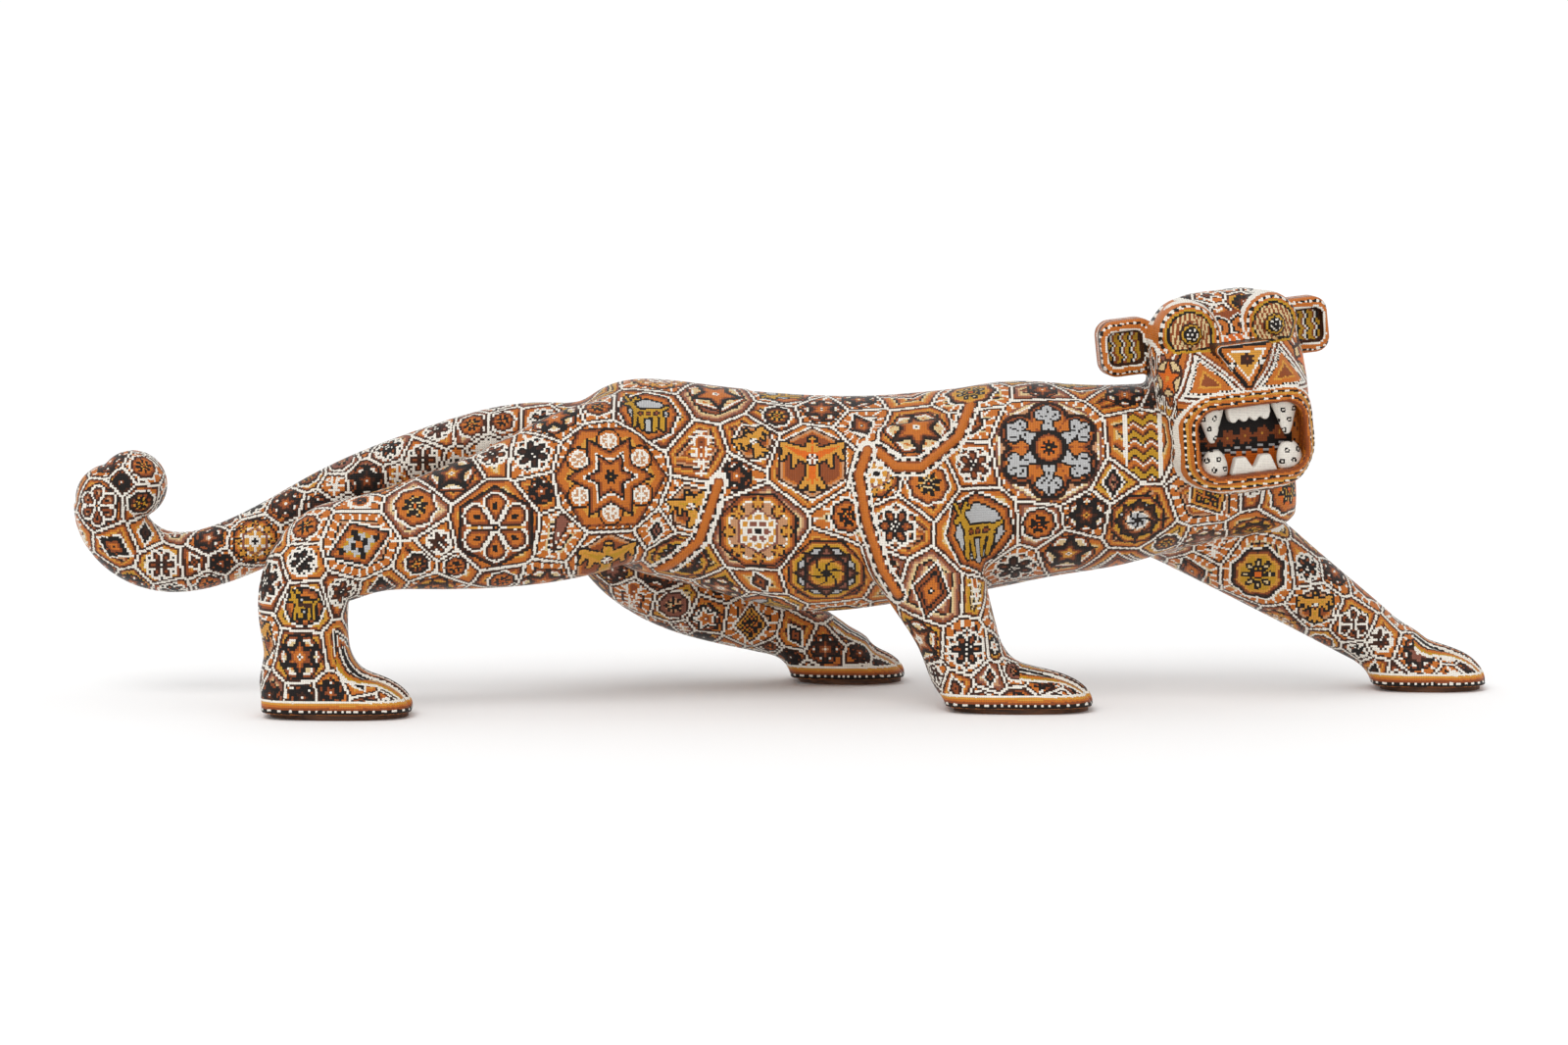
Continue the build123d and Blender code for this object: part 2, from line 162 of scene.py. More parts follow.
def window(low, high):
    """Slices of the grid that hold a box, and the world coordinates of their voxels."""
    first = np.clip(np.floor(np.array(low) / VOXEL).astype(int) - LOW, 0, GRID_SHAPE)
    last = np.clip(np.ceil(np.array(high) / VOXEL).astype(int) - LOW + 1, 0, GRID_SHAPE)
    cut = tuple(slice(a, b) for a, b in zip(first, last))
    axes = [
        ((np.arange(a, b) + l) * VOXEL).astype(np.float32) for a, b, l in zip(first, last, LOW)
    ]
    return cut, np.meshgrid(*axes, indexing="ij", sparse=True)


def sample(field, points, low, voxel):
    """Trilinear value and gradient of a field at points."""
    g = points / voxel - low
    g = np.clip(g, 0, np.array(field.shape) - 1.001)
    i = g.astype(int)
    f = (g - i).astype(np.float32)
    fx, fy, fz = f.T
    x, y, z = i.T
    c = [[[field[x + a, y + b, z + d] for d in (0, 1)] for b in (0, 1)] for a in (0, 1)]
    gx, gy, gz = 1 - fx, 1 - fy, 1 - fz
    (c00, c01), (c10, c11) = [[c[0][b][d] * gx + c[1][b][d] * fx for d in (0, 1)] for b in (0, 1)]
    c0 = c00 * gy + c10 * fy
    c1 = c01 * gy + c11 * fy
    value = c0 * gz + c1 * fz
    slope_z = c1 - c0
    slope_y = (c10 - c00) * gz + (c11 - c01) * fz
    dx = [[c[1][b][d] - c[0][b][d] for d in (0, 1)] for b in (0, 1)]
    slope_x = (dx[0][0] * gy + dx[1][0] * fy) * gz + (dx[0][1] * gy + dx[1][1] * fy) * fz
    return value, np.stack([slope_x, slope_y, slope_z], 1) / voxel


def build_form():
    """The whole beaded form: limbs flow into the trunk, the head and ears meet it crisply."""
    torso = field_of([n for n in nodes_like("_block", "_skin") if n.startswith(("torso", "neck"))])
    for leg in LEG_NAMES:
        limb = field_of([f"{leg}_upper_block", f"{leg}_lower_block"]) - SKIN
        paw = field_of([f"{leg}_paw_block"]) - SKIN
        torso = blend(torso, blend(limb, paw, PAW_FILLET), LEG_FILLET)
    heights = ((np.arange(torso.shape[2]) + LOW[2]) * VOXEL).astype(np.float32)
    torso = np.maximum(torso, SOLE - heights)
    tail = field_of([n for n in nodes_like("_block", "_skin") if n.startswith("tail")])
    torso = blend(torso, tail, TAIL_FILLET)
    head = field_of(["skull_block", "skull_skin", "jaw_block", "jaw_skin", "nose_pad", "eyes"])
    torso = blend(torso, head, HEAD_FILLET)
    ears = field_of(nodes_like("ear_block", "ear_skin"))
    torso = blend(torso, ears, EAR_FILLET)
    return torso


# ---- quads from the field
def add_object(name, data):
    made = bpy.data.objects.new(name, data)
    bpy.context.scene.collection.objects.link(made)
    return made


def to_mesh(name, points, quads):
    """A Blender mesh object from arrays."""
    mesh = bpy.data.meshes.new(name)
    mesh.vertices.add(len(points))
    mesh.vertices.foreach_set("co", points.astype(np.float32).ravel())
    mesh.loops.add(quads.size)
    mesh.loops.foreach_set("vertex_index", quads.astype(np.int32).ravel())
    mesh.polygons.add(len(quads))
    mesh.polygons.foreach_set("loop_start", np.arange(0, quads.size, 4, dtype=np.int32))
    mesh.update(calc_edges=True)
    return add_object(name, mesh)


def surface_of(field, voxel, band, low):
    """Quads of the field's zero surface."""
    grid = openvdb.FloatGrid(float(band * voxel))
    grid.copyFromArray(field)
    points, quads = grid.convertToQuads(0.0)
    return (points + low) * voxel, quads


# ---- bead colours
SHADES = {
    "white": (0xF8, 0xF2, 0xE6),
    "cream": (0xE4, 0xC8, 0x94),
    "amber": (0xDC, 0x9A, 0x3A),
    "orange": (0xCC, 0x72, 0x26),
    "rust": (0x94, 0x4A, 0x20),
    "brown": (0x40, 0x20, 0x10),
    "black": (0x16, 0x0E, 0x0A),
    "mustard": (0xC8, 0x96, 0x24),
    "grey": (0xC0, 0xC0, 0xC0),
    "mauve": (0x8E, 0x56, 0x44),
    "tan": (0xCC, 0x96, 0x6C),
    "bright": (0xE2, 0x6C, 0x14),
}
INK = {name: index for index, name in enumerate(SHADES)}


GLOWS = {
    "orange": "1 brown 2 rust 5 orange 7 amber cream",
    "fire": "1 black 2 rust 4.5 orange 6.5 bright 8.5 amber mustard",
    "mustard": "1 black 2 brown 3 rust 4.5 amber mustard",
    "grey": "1 brown 2 rust 3 tan 4 white grey",
    "mauve": "1 brown 3.5 mauve 5.5 tan 6.5 cream mauve",
    "dark": "1 white 2 orange 3.5 rust 5.5 brown black",
    "pale": "1 black 2 mauve 3 tan 4 cream tan",
}
GLOW_WEIGHTS = np.array((7, 6, 4, 1.5, 2, 1.5, 1), float)
RUNS_ON = 999


def inks(text):
    return np.array([INK[name] for name in text.split()])


def rows(text):
    """Rows inwards from an outline: the depth where each ends, then its colour; the last runs on."""
    found, limit = [], RUNS_ON
    for word in text.split():
        if word in INK:
            found.append((limit, INK[word]))
            limit = RUNS_ON
        else:
            limit = float(word)
    return found[::-1]


# ---- flat outlines
class Spot:
    """A place to draw at: x and y from its middle, and the radius r that sizes are shares of."""

    def __init__(self, x, y, r=1.0, ink=None, glow=None):
        self.x, self.y, self.r, self.ink, self.glow = x, y, r, ink, glow

    def moved(self, x, y):
        return Spot(self.x - self.r * x, self.y - self.r * y, self.r, self.ink, self.glow)


def folded(c, count, turn):
    """Coordinates folded into one of a ring of equal sectors, along and across its middle."""
    sector = 2 * np.pi / count
    angle = np.abs((np.arctan2(c.y, c.x) - turn + sector / 2) % sector - sector / 2)
    radius = np.hypot(c.x, c.y)
    return radius * np.cos(angle), radius * np.sin(angle)


def star(c, count, outer, inner, turn=0.0):
    """Signed distance to a pointed star."""
    along, across = folded(c, count, turn)
    along = along - c.r * outer
    dx = c.r * inner * np.cos(np.pi / count) - c.r * outer
    dy = c.r * inner * np.sin(np.pi / count)
    t = np.clip((along * dx + across * dy) / (dx * dx + dy * dy), 0, 1)
    distance = np.hypot(along - t * dx, across - t * dy)
    return np.where(dx * across - dy * along > 0, -distance, distance)


def polygon(c, count, apothem, turn=0.0):
    """Signed distance to a regular polygon, near its sides."""
    return folded(c, count, turn)[0] - c.r * apothem


def petals(c, count, middle, long, wide, turn=0.0):
    """Signed distance to a ring of oval petals."""
    along, across = folded(c, count, turn)
    oval = np.hypot((along - c.r * middle) / (c.r * long), across / (c.r * wide))
    return (oval - 1) * c.r * min(long, wide)


def drops(c, count, inner, outer, wide, turn=0.0):
    """Signed distance to a ring of petals, narrow at the centre and round outside."""
    along, across = folded(c, count, turn)
    reach = c.r * (outer - inner)
    t = np.clip((along - c.r * inner) / reach, 0, 1)
    return np.hypot(along - c.r * inner - t * reach, across) - c.r * wide * (0.15 + 0.85 * t)


def disc(c, radius):
    return np.hypot(c.x, c.y) - c.r * radius


def rhomb(c, half_x, half_y):
    """Signed distance to a diamond."""
    lean = np.abs(c.x) * half_y + np.abs(c.y) * half_x - c.r * half_x * half_y
    return lean / math.hypot(half_x, half_y)


def bones(c, segments):
    """Signed distance to tapering strokes (x1, y1, x2, y2, radius 1, radius 2)."""
    x, y = c.x / c.r, c.y / c.r
    best = np.full(x.shape, 1e3)
    for x1, y1, x2, y2, r1, r2 in segments:
        dx, dy = x2 - x1, y2 - y1
        t = np.clip(((x - x1) * dx + (y - y1) * dy) / (dx * dx + dy * dy), 0, 1)
        best = np.minimum(best, np.hypot(x - x1 - t * dx, y - y1 - t * dy) - (r1 + t * (r2 - r1)))
    return best * c.r


def honeycomb_places(x, y, pitch):
    """The nearest middle of a honeycomb of this pitch."""
    row = np.round(y / (pitch * 0.866))
    column = np.round(x / pitch - 0.5 * (row % 2)) + 0.5 * (row % 2)
    return column * pitch, row * pitch * 0.866


def to_honeycomb(x, y, pitch):
    """Distance to the nearest middle of a honeycomb."""
    near_x, near_y = honeycomb_places(x, y, pitch)
    return np.hypot(x - near_x, y - near_y)


def lay(c, distance, text, rim=None):
    """Lays rows of beads inside an outline, and a one-bead rim outside it."""
    if rim:
        c.ink[(distance >= 0) & (distance < 1.1)] = INK[rim]
    for limit, colour in rows(text):
        c.ink[(-distance < limit) & (distance <= 0)] = colour


# ---- motifs
# Each draws in its cell, with x, y and r in beads.
SIXTH = np.pi / 3
HALF_SIXTH = np.pi / 6


def m_star_garden(c):
    """Six-point star with a round blossom between its points."""
    lay(c, polygon(c, 6, 0.92, HALF_SIXTH), "1 brown 2 rust 5 orange 7 amber")
    for k in range(6):
        a = HALF_SIXTH + k * SIXTH
        bloom = c.moved(0.66 * math.cos(a), 0.66 * math.sin(a))
        lay(c, disc(bloom, 0.24), "1 black 2.2 orange 3.2 white tan")
        lay(c, petals(bloom, 6, 0.09, 0.09, 0.45 / c.r, HALF_SIXTH), "white")
    lay(c, star(c, 6, 0.86, 0.48), "1 black 2 rust 4 orange 5 white orange")
    lay(c, star(c, 6, 0.50, 0.27), GLOWS["fire"])
    lay(c, petals(c, 6, 0.08, 0.07, 0.03), "black")


def m_petal_wheel(c):
    """Six rounded petals, each with its own seed, in a six-sided frame."""
    lay(c, polygon(c, 6, 0.90), "1 black 2 brown 3.4 rust 5 orange amber")
    lay(c, drops(c, 6, 0.16, 0.56, 0.26, HALF_SIXTH), GLOWS[c.glow], "white")
    lay(c, petals(c, 6, 0.52, 0.10, 0.06, HALF_SIXTH), "1 black rust")
    lay(c, disc(c, 0.09), "1 black orange")


def m_big_bloom(c):
    """A wide blossom: orange lobes round grey flowers, and a dark-rimmed sun."""
    r = c.r
    lay(c, polygon(c, 12, 0.98), "1 mauve 2 cream 3 white tan")
    along, across = folded(c, 6, HALF_SIXTH)
    lay(c, np.hypot(along - r * 0.58, across) - r * 0.36, "1 black 2 rust orange", "brown")
    heart = np.minimum(np.hypot(along - r * 0.76, across), np.hypot(along - r * 0.66, across - r * 0.13))
    wedge = np.maximum(across - (r * 0.62 - along) * 0.30 - r * 0.03, along - r * 0.64)
    grey = np.minimum(heart - r * 0.105, np.maximum(wedge, r * 0.30 - along))
    lay(c, grey, "grey", "black")
    vein = (grey < -1) & (np.abs(along - across * 1.4 - r * 0.46) < 0.6)
    c.ink[vein | ((grey < -1) & (np.abs(across) < 0.5) & (along > r * 0.62))] = INK["black"]
    lay(c, polygon(c, 10, 0.34), "2.4 black 3.4 rust 5.5 orange 7.5 bright amber")
    lay(c, petals(c, 8, 0.09, 0.07, 0.03), "black")


def m_honeycomb(c):
    """White hexagon full of small round dots, ringed with half blossoms."""
    lay(c, polygon(c, 8, 0.94), "1 black 2 rust 3 orange 4 amber 5 white tan")
    for k in range(8):
        a = k * np.pi / 4
        bloom = c.moved(0.70 * math.cos(a), 0.70 * math.sin(a))
        lay(c, disc(bloom, 0.17), "1 black rust")
        lay(c, petals(bloom, 5, 0.09, 0.08, 0.035, a), "amber")
    lay(c, polygon(c, 6, 0.50), "1 mauve white")
    x, y = honeycomb_places(c.x, c.y, 4.2)
    inside = (polygon(c, 6, 0.44) < 0) & (to_honeycomb(c.x, c.y, 4.2) < 1.5)
    for share, colour in ((1, "amber"), (0.32, "mauve"), (0.14, "black")):
        c.ink[inside & (np.hypot(x, y) < c.r * share)] = INK[colour]


def m_pinwheel(c):
    """Curved blades round a small dark flower, inside an eight-point outline."""
    lay(c, polygon(c, 8, 0.92), "1 black 2 rust 3 amber 4 mustard 5 black grey")
    lay(c, star(c, 8, 0.82, 0.60), "1 black 2 brown mauve")
    lay(c, disc(c, 0.56), GLOWS[c.glow])
    radius = np.hypot(c.x, c.y)
    swirl = np.abs(((np.arctan2(c.y, c.x) + radius / c.r * 2.4) / SIXTH + 0.5) % 1 - 0.5)
    c.ink[(swirl * radius * SIXTH < 0.6) & (radius < c.r * 0.56)] = INK["black"]
    lay(c, petals(c, 6, 0.06, 0.06, 0.03), "black")


def m_diamonds(c):
    """Nested diamonds with stepped corners."""
    lay(c, rhomb(c, 0.72, 1.10), "1 white 2 black 3 rust 4.5 orange 5.5 white rust")
    lay(c, rhomb(c, 0.46, 0.74), GLOWS[c.glow])
    lay(c, rhomb(c, 0.12, 0.18), "1 black white")


def m_squares(c):
    """Nine small diamonds set in a large one."""
    lay(c, rhomb(c, 0.80, 1.05), "1 white 2 brown 3 amber orange")
    u, v = c.x / 0.80 + c.y / 1.05, c.x / 0.80 - c.y / 1.05
    pitch = c.r * 0.44
    nu, nv = np.clip(np.round(u / pitch), -1, 1), np.clip(np.round(v / pitch), -1, 1)
    tile = np.maximum(np.abs(u - nu * pitch), np.abs(v - nv * pitch)) / 1.6 - pitch * 0.26
    lay(c, tile, "1 black grey" if c.glow == "grey" else "1 black mustard")


def m_rosette(c):
    """Scalloped rings round a seeded centre."""
    wave = np.hypot(c.x, c.y) * (1 + 0.05 * np.cos(8 * np.arctan2(c.y, c.x)))
    lay(c, wave - c.r * 0.80, GLOWS[c.glow], "white")
    lay(c, petals(c, 8, 0.34, 0.17, 0.10), "1 black cream")
    lay(c, disc(c, 0.15), "1 black bright")


def m_blossom(c):
    """Six oval petals that touch, on a white-edged hexagon."""
    lay(c, polygon(c, 6, 0.86), "1 white 2 black 3 rust tan")
    lay(c, petals(c, 6, 0.46, 0.30, 0.20), GLOWS[c.glow], "white")
    lay(c, disc(c, 0.17), "1 black 2 white black")


def m_star(c, points=6):
    """A plain star on a ground of dots."""
    ground = polygon(c, 6, 0.90, HALF_SIXTH)
    lay(c, ground, "1 black 2 rust 3 white cream")
    dots = (np.abs((c.x + c.y * 0.58) % 4.4 - 2.2) < 0.9) & (np.abs((c.y * 1.16) % 4.4 - 2.2) < 0.9)
    c.ink[dots & (ground < -3.2)] = INK["orange"]
    lay(c, star(c, points, 0.84, 0.42, np.pi / 2), GLOWS[c.glow], "black")
    lay(c, disc(c, 0.10), "1 white black")


def m_star5(c):
    m_star(c, 5)


def m_chevrons(c):
    """A ladder of zigzags."""
    wide = c.r * 0.52
    zig = c.y + np.abs((np.abs(c.x) % wide) - wide / 2) * 0.9
    for limit, colour in rows("0.9 white 1.6 rust 2.6 black 5.6 mustard 6.6 brown 7.6 rust 9 orange"):
        c.ink[(np.abs(c.x) < wide) & (zig % 9.0 < limit)] = colour
    c.ink[(np.abs(np.abs(c.x) - wide) < 1.0)] = INK["white"]


def m_leaf(c):
    """A long dark-cored leaf with ticked edges."""
    edge = bones(c, [(0, -0.85, 0, 0.7, 0.06, 0.36)])
    lay(c, edge, GLOWS["mauve" if c.glow == "mauve" else "dark"])
    c.ink[(edge > 0) & (edge < 2.4) & ((c.y % 3.0) < 1.1)] = INK["white"]
    c.ink[(np.abs(c.x) < 0.6) & (np.abs(c.y) < c.r * 0.45) & ((c.y % 4) < 1.4)] = INK["white"]


def m_steps(c):
    """A stepped grey key pattern in a slanted diamond."""
    lay(c, rhomb(c, 1.15, 0.80), "1 white 2 black 3 rust 4.5 orange mustard")
    stepped = Spot(np.round(c.x / 3.0) * 3.0, np.round(c.y / 3.0) * 3.0, c.r)
    lay(c, rhomb(stepped, 0.62, 0.44), "1.2 black 3.0 grey 4.4 black grey")
    lay(c, rhomb(stepped, 0.16, 0.12), "orange")


def m_bird(c):
    """A plain bird with spread wings, seen from above, with a blossom on its back."""
    lay(c, polygon(c, 6, 0.92), "1 white 2 brown 3 tan 4 orange rust")
    body = bones(Spot(np.abs(c.x), c.y, c.r), [
        (0, -0.36, 0, 0.40, 0.17, 0.13),
        (0, 0.50, 0, 0.58, 0.13, 0.11),
        (0.05, 0.12, 0.74, 0.44, 0.21, 0.09),
        (0.66, 0.36, 0.78, 0.08, 0.08, 0.05),
        (0.40, 0.22, 0.50, -0.10, 0.09, 0.05),
        (0, -0.36, 0.26, -0.66, 0.12, 0.07),
        (0, -0.36, 0, -0.72, 0.12, 0.07),
    ])
    lay(c, body, "1.6 amber bright" if c.glow == "fire" else "1.6 amber mustard", "black")
    lay(c, disc(c.moved(0, 0.06), 0.17), "1 black rust")
    lay(c, petals(c.moved(0, 0.06), 6, 0.09, 0.08, 0.03), "white")
    c.ink[np.hypot(np.abs(c.x) - c.r * 0.06, c.y - c.r * 0.56) < 0.9] = INK["black"]


def m_deer(c):
    """A plain standing deer."""
    lay(c, polygon(c, 8, 0.95, np.pi / 8), "1 white 2 black 3.2 rust 5 orange 6 black grey")
    body = bones(c, [
        (-0.26, 0.04, 0.34, 0.06, 0.16, 0.15),
        (-0.32, 0.10, -0.46, 0.40, 0.10, 0.09),
        (-0.46, 0.42, -0.64, 0.32, 0.09, 0.05),
        (-0.36, 0.00, -0.44, -0.52, 0.07, 0.06),
        (-0.20, 0.00, -0.18, -0.52, 0.07, 0.06),
        (0.24, 0.00, 0.20, -0.52, 0.07, 0.06),
        (0.42, 0.02, 0.46, -0.52, 0.07, 0.06),
        (0.46, 0.14, 0.62, 0.28, 0.05, 0.04),
        (-0.44, 0.48, -0.30, 0.74, 0.04, 0.035),
        (-0.36, 0.62, -0.20, 0.64, 0.035, 0.03),
        (-0.50, 0.48, -0.60, 0.72, 0.04, 0.035),
    ])
    lay(c, body, "mustard", "black")
    for k in (-1, 0, 1):
        lay(c, disc(c.moved(k * 0.24 + 0.04, 0.05), 0.10), "1 brown rust")


MOTIFS = {draw.__name__[2:]: draw for draw in (
    m_star_garden, m_petal_wheel, m_big_bloom, m_honeycomb, m_pinwheel, m_diamonds, m_squares, m_rosette,
    m_blossom, m_star, m_star5, m_chevrons, m_leaf, m_steps, m_bird, m_deer,
)}


# ---- relief on the form
def to_polyline(x, z, line):
    """Distance in the side view to a bent line, and how far along it."""
    best = np.full(np.broadcast(x, z).shape, 9.0)
    along = np.zeros(best.shape)
    run = 0.0
    for (x1, z1), (x2, z2) in zip(line, line[1:]):
        dx, dz = x2 - x1, z2 - z1
        length = math.hypot(dx, dz)
        t = np.clip(((x - x1) * dx + (z - z1) * dz) / (length * length), 0, 1)
        distance = np.hypot(x - x1 - t * dx, z - z1 - t * dz)
        nearer = distance < best
        best = np.where(nearer, distance, best)
        along = np.where(nearer, run + t * length, along)
        run += length
    return best, along


def head_local(x, y, z):
    """Coordinates in the head's frame: sideways, up, forward."""
    dx, dy, dz = x - HEAD_AT[0], y - HEAD_AT[1], z - HEAD_AT[2]
    return [dx * axis[0] + dy * axis[1] + dz * axis[2] for axis in (SIDE, UP, FORWARD)]


def box_distance(x, y, half, corner):
    """Signed distance to a rounded box in a plane."""
    dx = np.abs(x) - half[0] + corner
    dy = np.abs(y) - half[1] + corner
    outside = np.hypot(np.maximum(dx, 0), np.maximum(dy, 0))
    return outside + np.minimum(np.maximum(dx, dy), 0) - corner


def mouth_distance(across, up):
    return box_distance(across, up - MOUTH_MIDDLE, MOUTH_HALF, 0.020)


def hump(distance, wide):
    """A smooth rounded bump, 1 at the middle and 0 past its width."""
    return np.clip(1 - (distance / wide) ** 2, 0, 1) ** 1.5


def toe_lines(name, x):
    """How far into the toes each x is, 0 to 1, and where the grooves between them lie there."""
    (_, y0, _), (x1, y1, _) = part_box(f"{name}_paw_block")
    reach = np.clip((x - (x1 - TOE_LONG)) / 0.03, 0, 1)
    middle, wide = (y0 + y1) / 2, (y1 - y0) / 2
    return reach, [middle + share * wide * (1 - 0.25 * reach) for share in TOE_LINES]


def add_relief(form):
    """Cords on the flanks, lips, brows, and the grooves between the toes."""
    for cord in CORDS:
        xs, zs = zip(*cord)
        low = (min(xs) - 0.01, -0.2, min(zs) - 0.01)
        high = (max(xs) + 0.01, 0.2, max(zs) + 0.01)
        cut, (x, y, z) = window(low, high)
        distance, _ = to_polyline(x, z, cord)
        outer = np.abs(y) > CORD_OUTER
        form[cut] -= CORD_HIGH * hump(distance, CORD_WIDE) * outer
    low, high = HEAD_AT - 0.14, HEAD_AT + 0.14
    cut, (x, y, z) = window(low, high)
    across, up, ahead = head_local(x, y, z)
    front = np.clip((ahead - 0.035) / 0.02, 0, 1)
    mouth = mouth_distance(across, up)
    lips = hump(mouth - 0.0045, 0.0050) + 0.8 * hump(mouth - 0.0132, 0.0046)
    form[cut] -= LIP_HIGH * lips * front
    eye = np.hypot(np.abs(across) - EYE_AT[0], up - EYE_AT[1])
    brow = hump(eye - 0.0285, 0.0055) * np.clip((up - EYE_AT[1] + 0.008) / 0.01, 0, 1)
    form[cut] -= BROW_HIGH * brow * (ahead > 0.0)
    socket = hump(eye - 0.0150, 0.0060)
    form[cut] += SOCKET_DEEP * socket * (ahead > 0.03)
    for name in LEG_NAMES:
        (_, y0, _), (x1, y1, z1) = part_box(f"{name}_paw_block")
        cut, (x, y, z) = window((x1 - TOE_LONG, y0 - 0.01, 0.0), (x1 + 0.012, y1 + 0.01, z1))
        reach, lines = toe_lines(name, x)
        for line in lines:
            form[cut] += TOE_DEEP * hump(y - line, 0.0050) * reach * np.clip((z - 0.008) / 0.008, 0, 1)
    return form


# ---- evenly laid quads
def joined(a, b, count):
    """A label for each of count points, the same for points that the pairs a, b join."""
    label = np.arange(count)
    while True:
        before = label.copy()
        low = np.minimum(label[a], label[b])
        np.minimum.at(label, a, low)
        np.minimum.at(label, b, low)
        label = label[label]
        if np.array_equal(before, label):
            return label


def main_island(quads, count):
    """The quads of the largest joined surface."""
    label = joined(quads.ravel(), np.roll(quads, 1, axis=1).ravel(), count)
    return quads[label[quads[:, 0]] == np.bincount(label).argmax()]


def compact(points, quads):
    used, index = np.unique(quads, return_inverse=True)
    return points[used], index.reshape(quads.shape)


def relax(points, quads, field, low, voxel):
    """Evens out the spacing of the corners while they stay on the field's surface."""
    a = np.concatenate([quads.ravel(), np.roll(quads, 1, axis=1).ravel()])
    b = np.concatenate([np.roll(quads, 1, axis=1).ravel(), quads.ravel()])
    count = np.bincount(a, minlength=len(points))[:, None]
    for _ in range(RELAX_ROUNDS):
        mean = np.stack(
            [np.bincount(a, weights=points[b, k], minlength=len(points)) for k in range(3)], 1
        ) / count
        points = points + 0.6 * (mean - points)
        value, gradient = sample(field, points, low, voxel)
        steep = np.maximum((gradient ** 2).sum(1), 0.25)
        points = points - gradient * (value / steep)[:, None]
    return points


def face_frames(points, quads):
    """Centre and unit normal of each quad."""
    corners = points[quads]
    centre = corners.mean(1)
    normal = np.cross(corners[:, 2] - corners[:, 0], corners[:, 3] - corners[:, 1])
    return centre, normal / np.linalg.norm(normal, axis=1, keepdims=True)


# ---- seeds of the pattern
class Seeds:
    """Middles of the pattern's cells, with the power diagram they share the surface by."""

    def __init__(self, centres, normals):
        self.centres, self.normals = centres, normals
        count = len(centres)
        self.gap = np.full(count, 9.0)
        self.power = np.full((2, count), 9.0)
        self.owner = np.full((2, count), -1)
        self.rows = []

    def add(self, face, radius, kind=None, glow=None, turn=0.0):
        offset = self.centres - self.centres[face]
        square = np.einsum("ij,ij->i", offset, offset)
        away = np.sqrt(square)
        facing = self.normals @ self.normals[face]
        away = away * (1 + 0.5 * np.clip(0.3 - facing, 0, 1))
        self.gap = np.minimum(self.gap, away - radius)
        power = away * away - radius * radius
        first = power < self.power[0]
        second = ~first & (power < self.power[1])
        for table, value in ((self.power, power), (self.owner, len(self.rows))):
            table[1] = np.where(first, table[0], np.where(second, value, table[1]))
            table[0] = np.where(first, value, table[0])
        self.rows.append((face, radius, kind, glow, turn))

    def at_side(self, x, z, near):
        """The face seen from the right (near) or the left at this place of the side view."""
        side = -1 if near else 1
        miss = np.hypot(self.centres[:, 0] - x, self.centres[:, 2] - z)
        fits = (miss < 0.006) & (self.normals[:, 1] * side > 0.15)
        if not fits.any():
            return int(miss.argmin())
        faces = np.flatnonzero(fits)
        return int(faces[(self.centres[faces, 1] * side).argmax()])

    def place(self, row, near):
        """Adds one row of the placed motifs."""
        x, z, radius = (value / 1000 for value in row[:3])
        self.add(self.at_side(x, z, near), radius, *row[3:])

    def border(self):
        """How far each face is from its cell's edge."""
        places = self.centres[[row[0] for row in self.rows]]
        apart = np.linalg.norm(places[self.owner[0]] - places[self.owner[1]], axis=1)
        return (self.power[1] - self.power[0]) / (2 * np.maximum(apart, 1e-4))


# the large motifs of the right flank: side view place and radius (mm), motif, glow, turn in degrees
PLACED = (
    (-177, 252, 60, "star_garden", "fire"),
    (-299, 197, 45, "petal_wheel", "orange"),
    (-442, 188, 36, "steps", "grey", 20),
    (-382, 158, 16, "rosette", "mustard"),
    (-185, 154, 40, "bird", "mustard", 10),
    (-143, 318, 36, "deer", "mustard"),
    (-85, 275, 24, "leaf", "dark"),
    (-31, 186, 45, "honeycomb", "pale"),
    (49, 140, 45, "pinwheel", "mustard"),
    (30, 270, 42, "bird", "fire"),
    (142, 306, 37, "star", "orange"),
    (112, 202, 27, "blossom", "fire"),
    (280, 285, 60, "big_bloom", "fire"),
    (209, 192, 46, "deer", "mustard"),
    (303, 158, 30, "star5", "mustard"),
    (377, 196, 33, "pinwheel", "grey"),
    (151, 129, 32, "diamonds", "fire", -12),
    (198, 68, 24, "blossom", "fire"),
    (382, 290, 36, "chevrons", "mustard"),
    (-69, 118, 26, "star", "grey"),
    (-32, 290, 24, "bird", "mustard", 30),
    (80, 330, 22, "star5", "mustard"),
)
FAR_SIDE_FROM = -0.30  # motifs ahead of here and above the legs are laid on both flanks
FAR_SIDE_OVER = 0.14
# motifs on the legs, the tail and the chest, on the right only
ENDS = (
    (513, 127, 38, "rosette", "mustard"),
    (450, 170, 26, "star", "mauve"),
    (575, 90, 24, "bird", "grey"),
    (620, 72, 20, "petal_wheel", "grey"),
    (690, 45, 20, "star", "mauve"),
    (-736, 215, 26, "petal_wheel", "grey"),
    (-715, 162, 22, "diamonds", "fire", 60),
    (-660, 145, 20, "blossom", "orange"),
    (-568, 176, 27, "honeycomb", "mustard"),
    (-505, 208, 20, "rosette", "orange"),
    (-450, 238, 20, "star5", "mustard"),
    (-390, 262, 20, "blossom", "orange"),
    (-311, 279, 20, "blossom", "grey"),
    (-513, 68, 26, "star", "fire"),
    (-500, 126, 24, "deer", "grey"),
    (-117, 86, 21, "rosette", "mauve"),
    (-33, 64, 27, "squares", "mustard"),
    (45, 46, 18, "star", "grey"),
)
SMALL_KINDS = "blossom rosette diamonds star star5 leaf".split()
LARGE_KINDS = ("petal_wheel honeycomb pinwheel star blossom squares bird deer "
               "rosette diamonds star5 steps").split()
LARGE_FROM = 10.5  # radius in beads
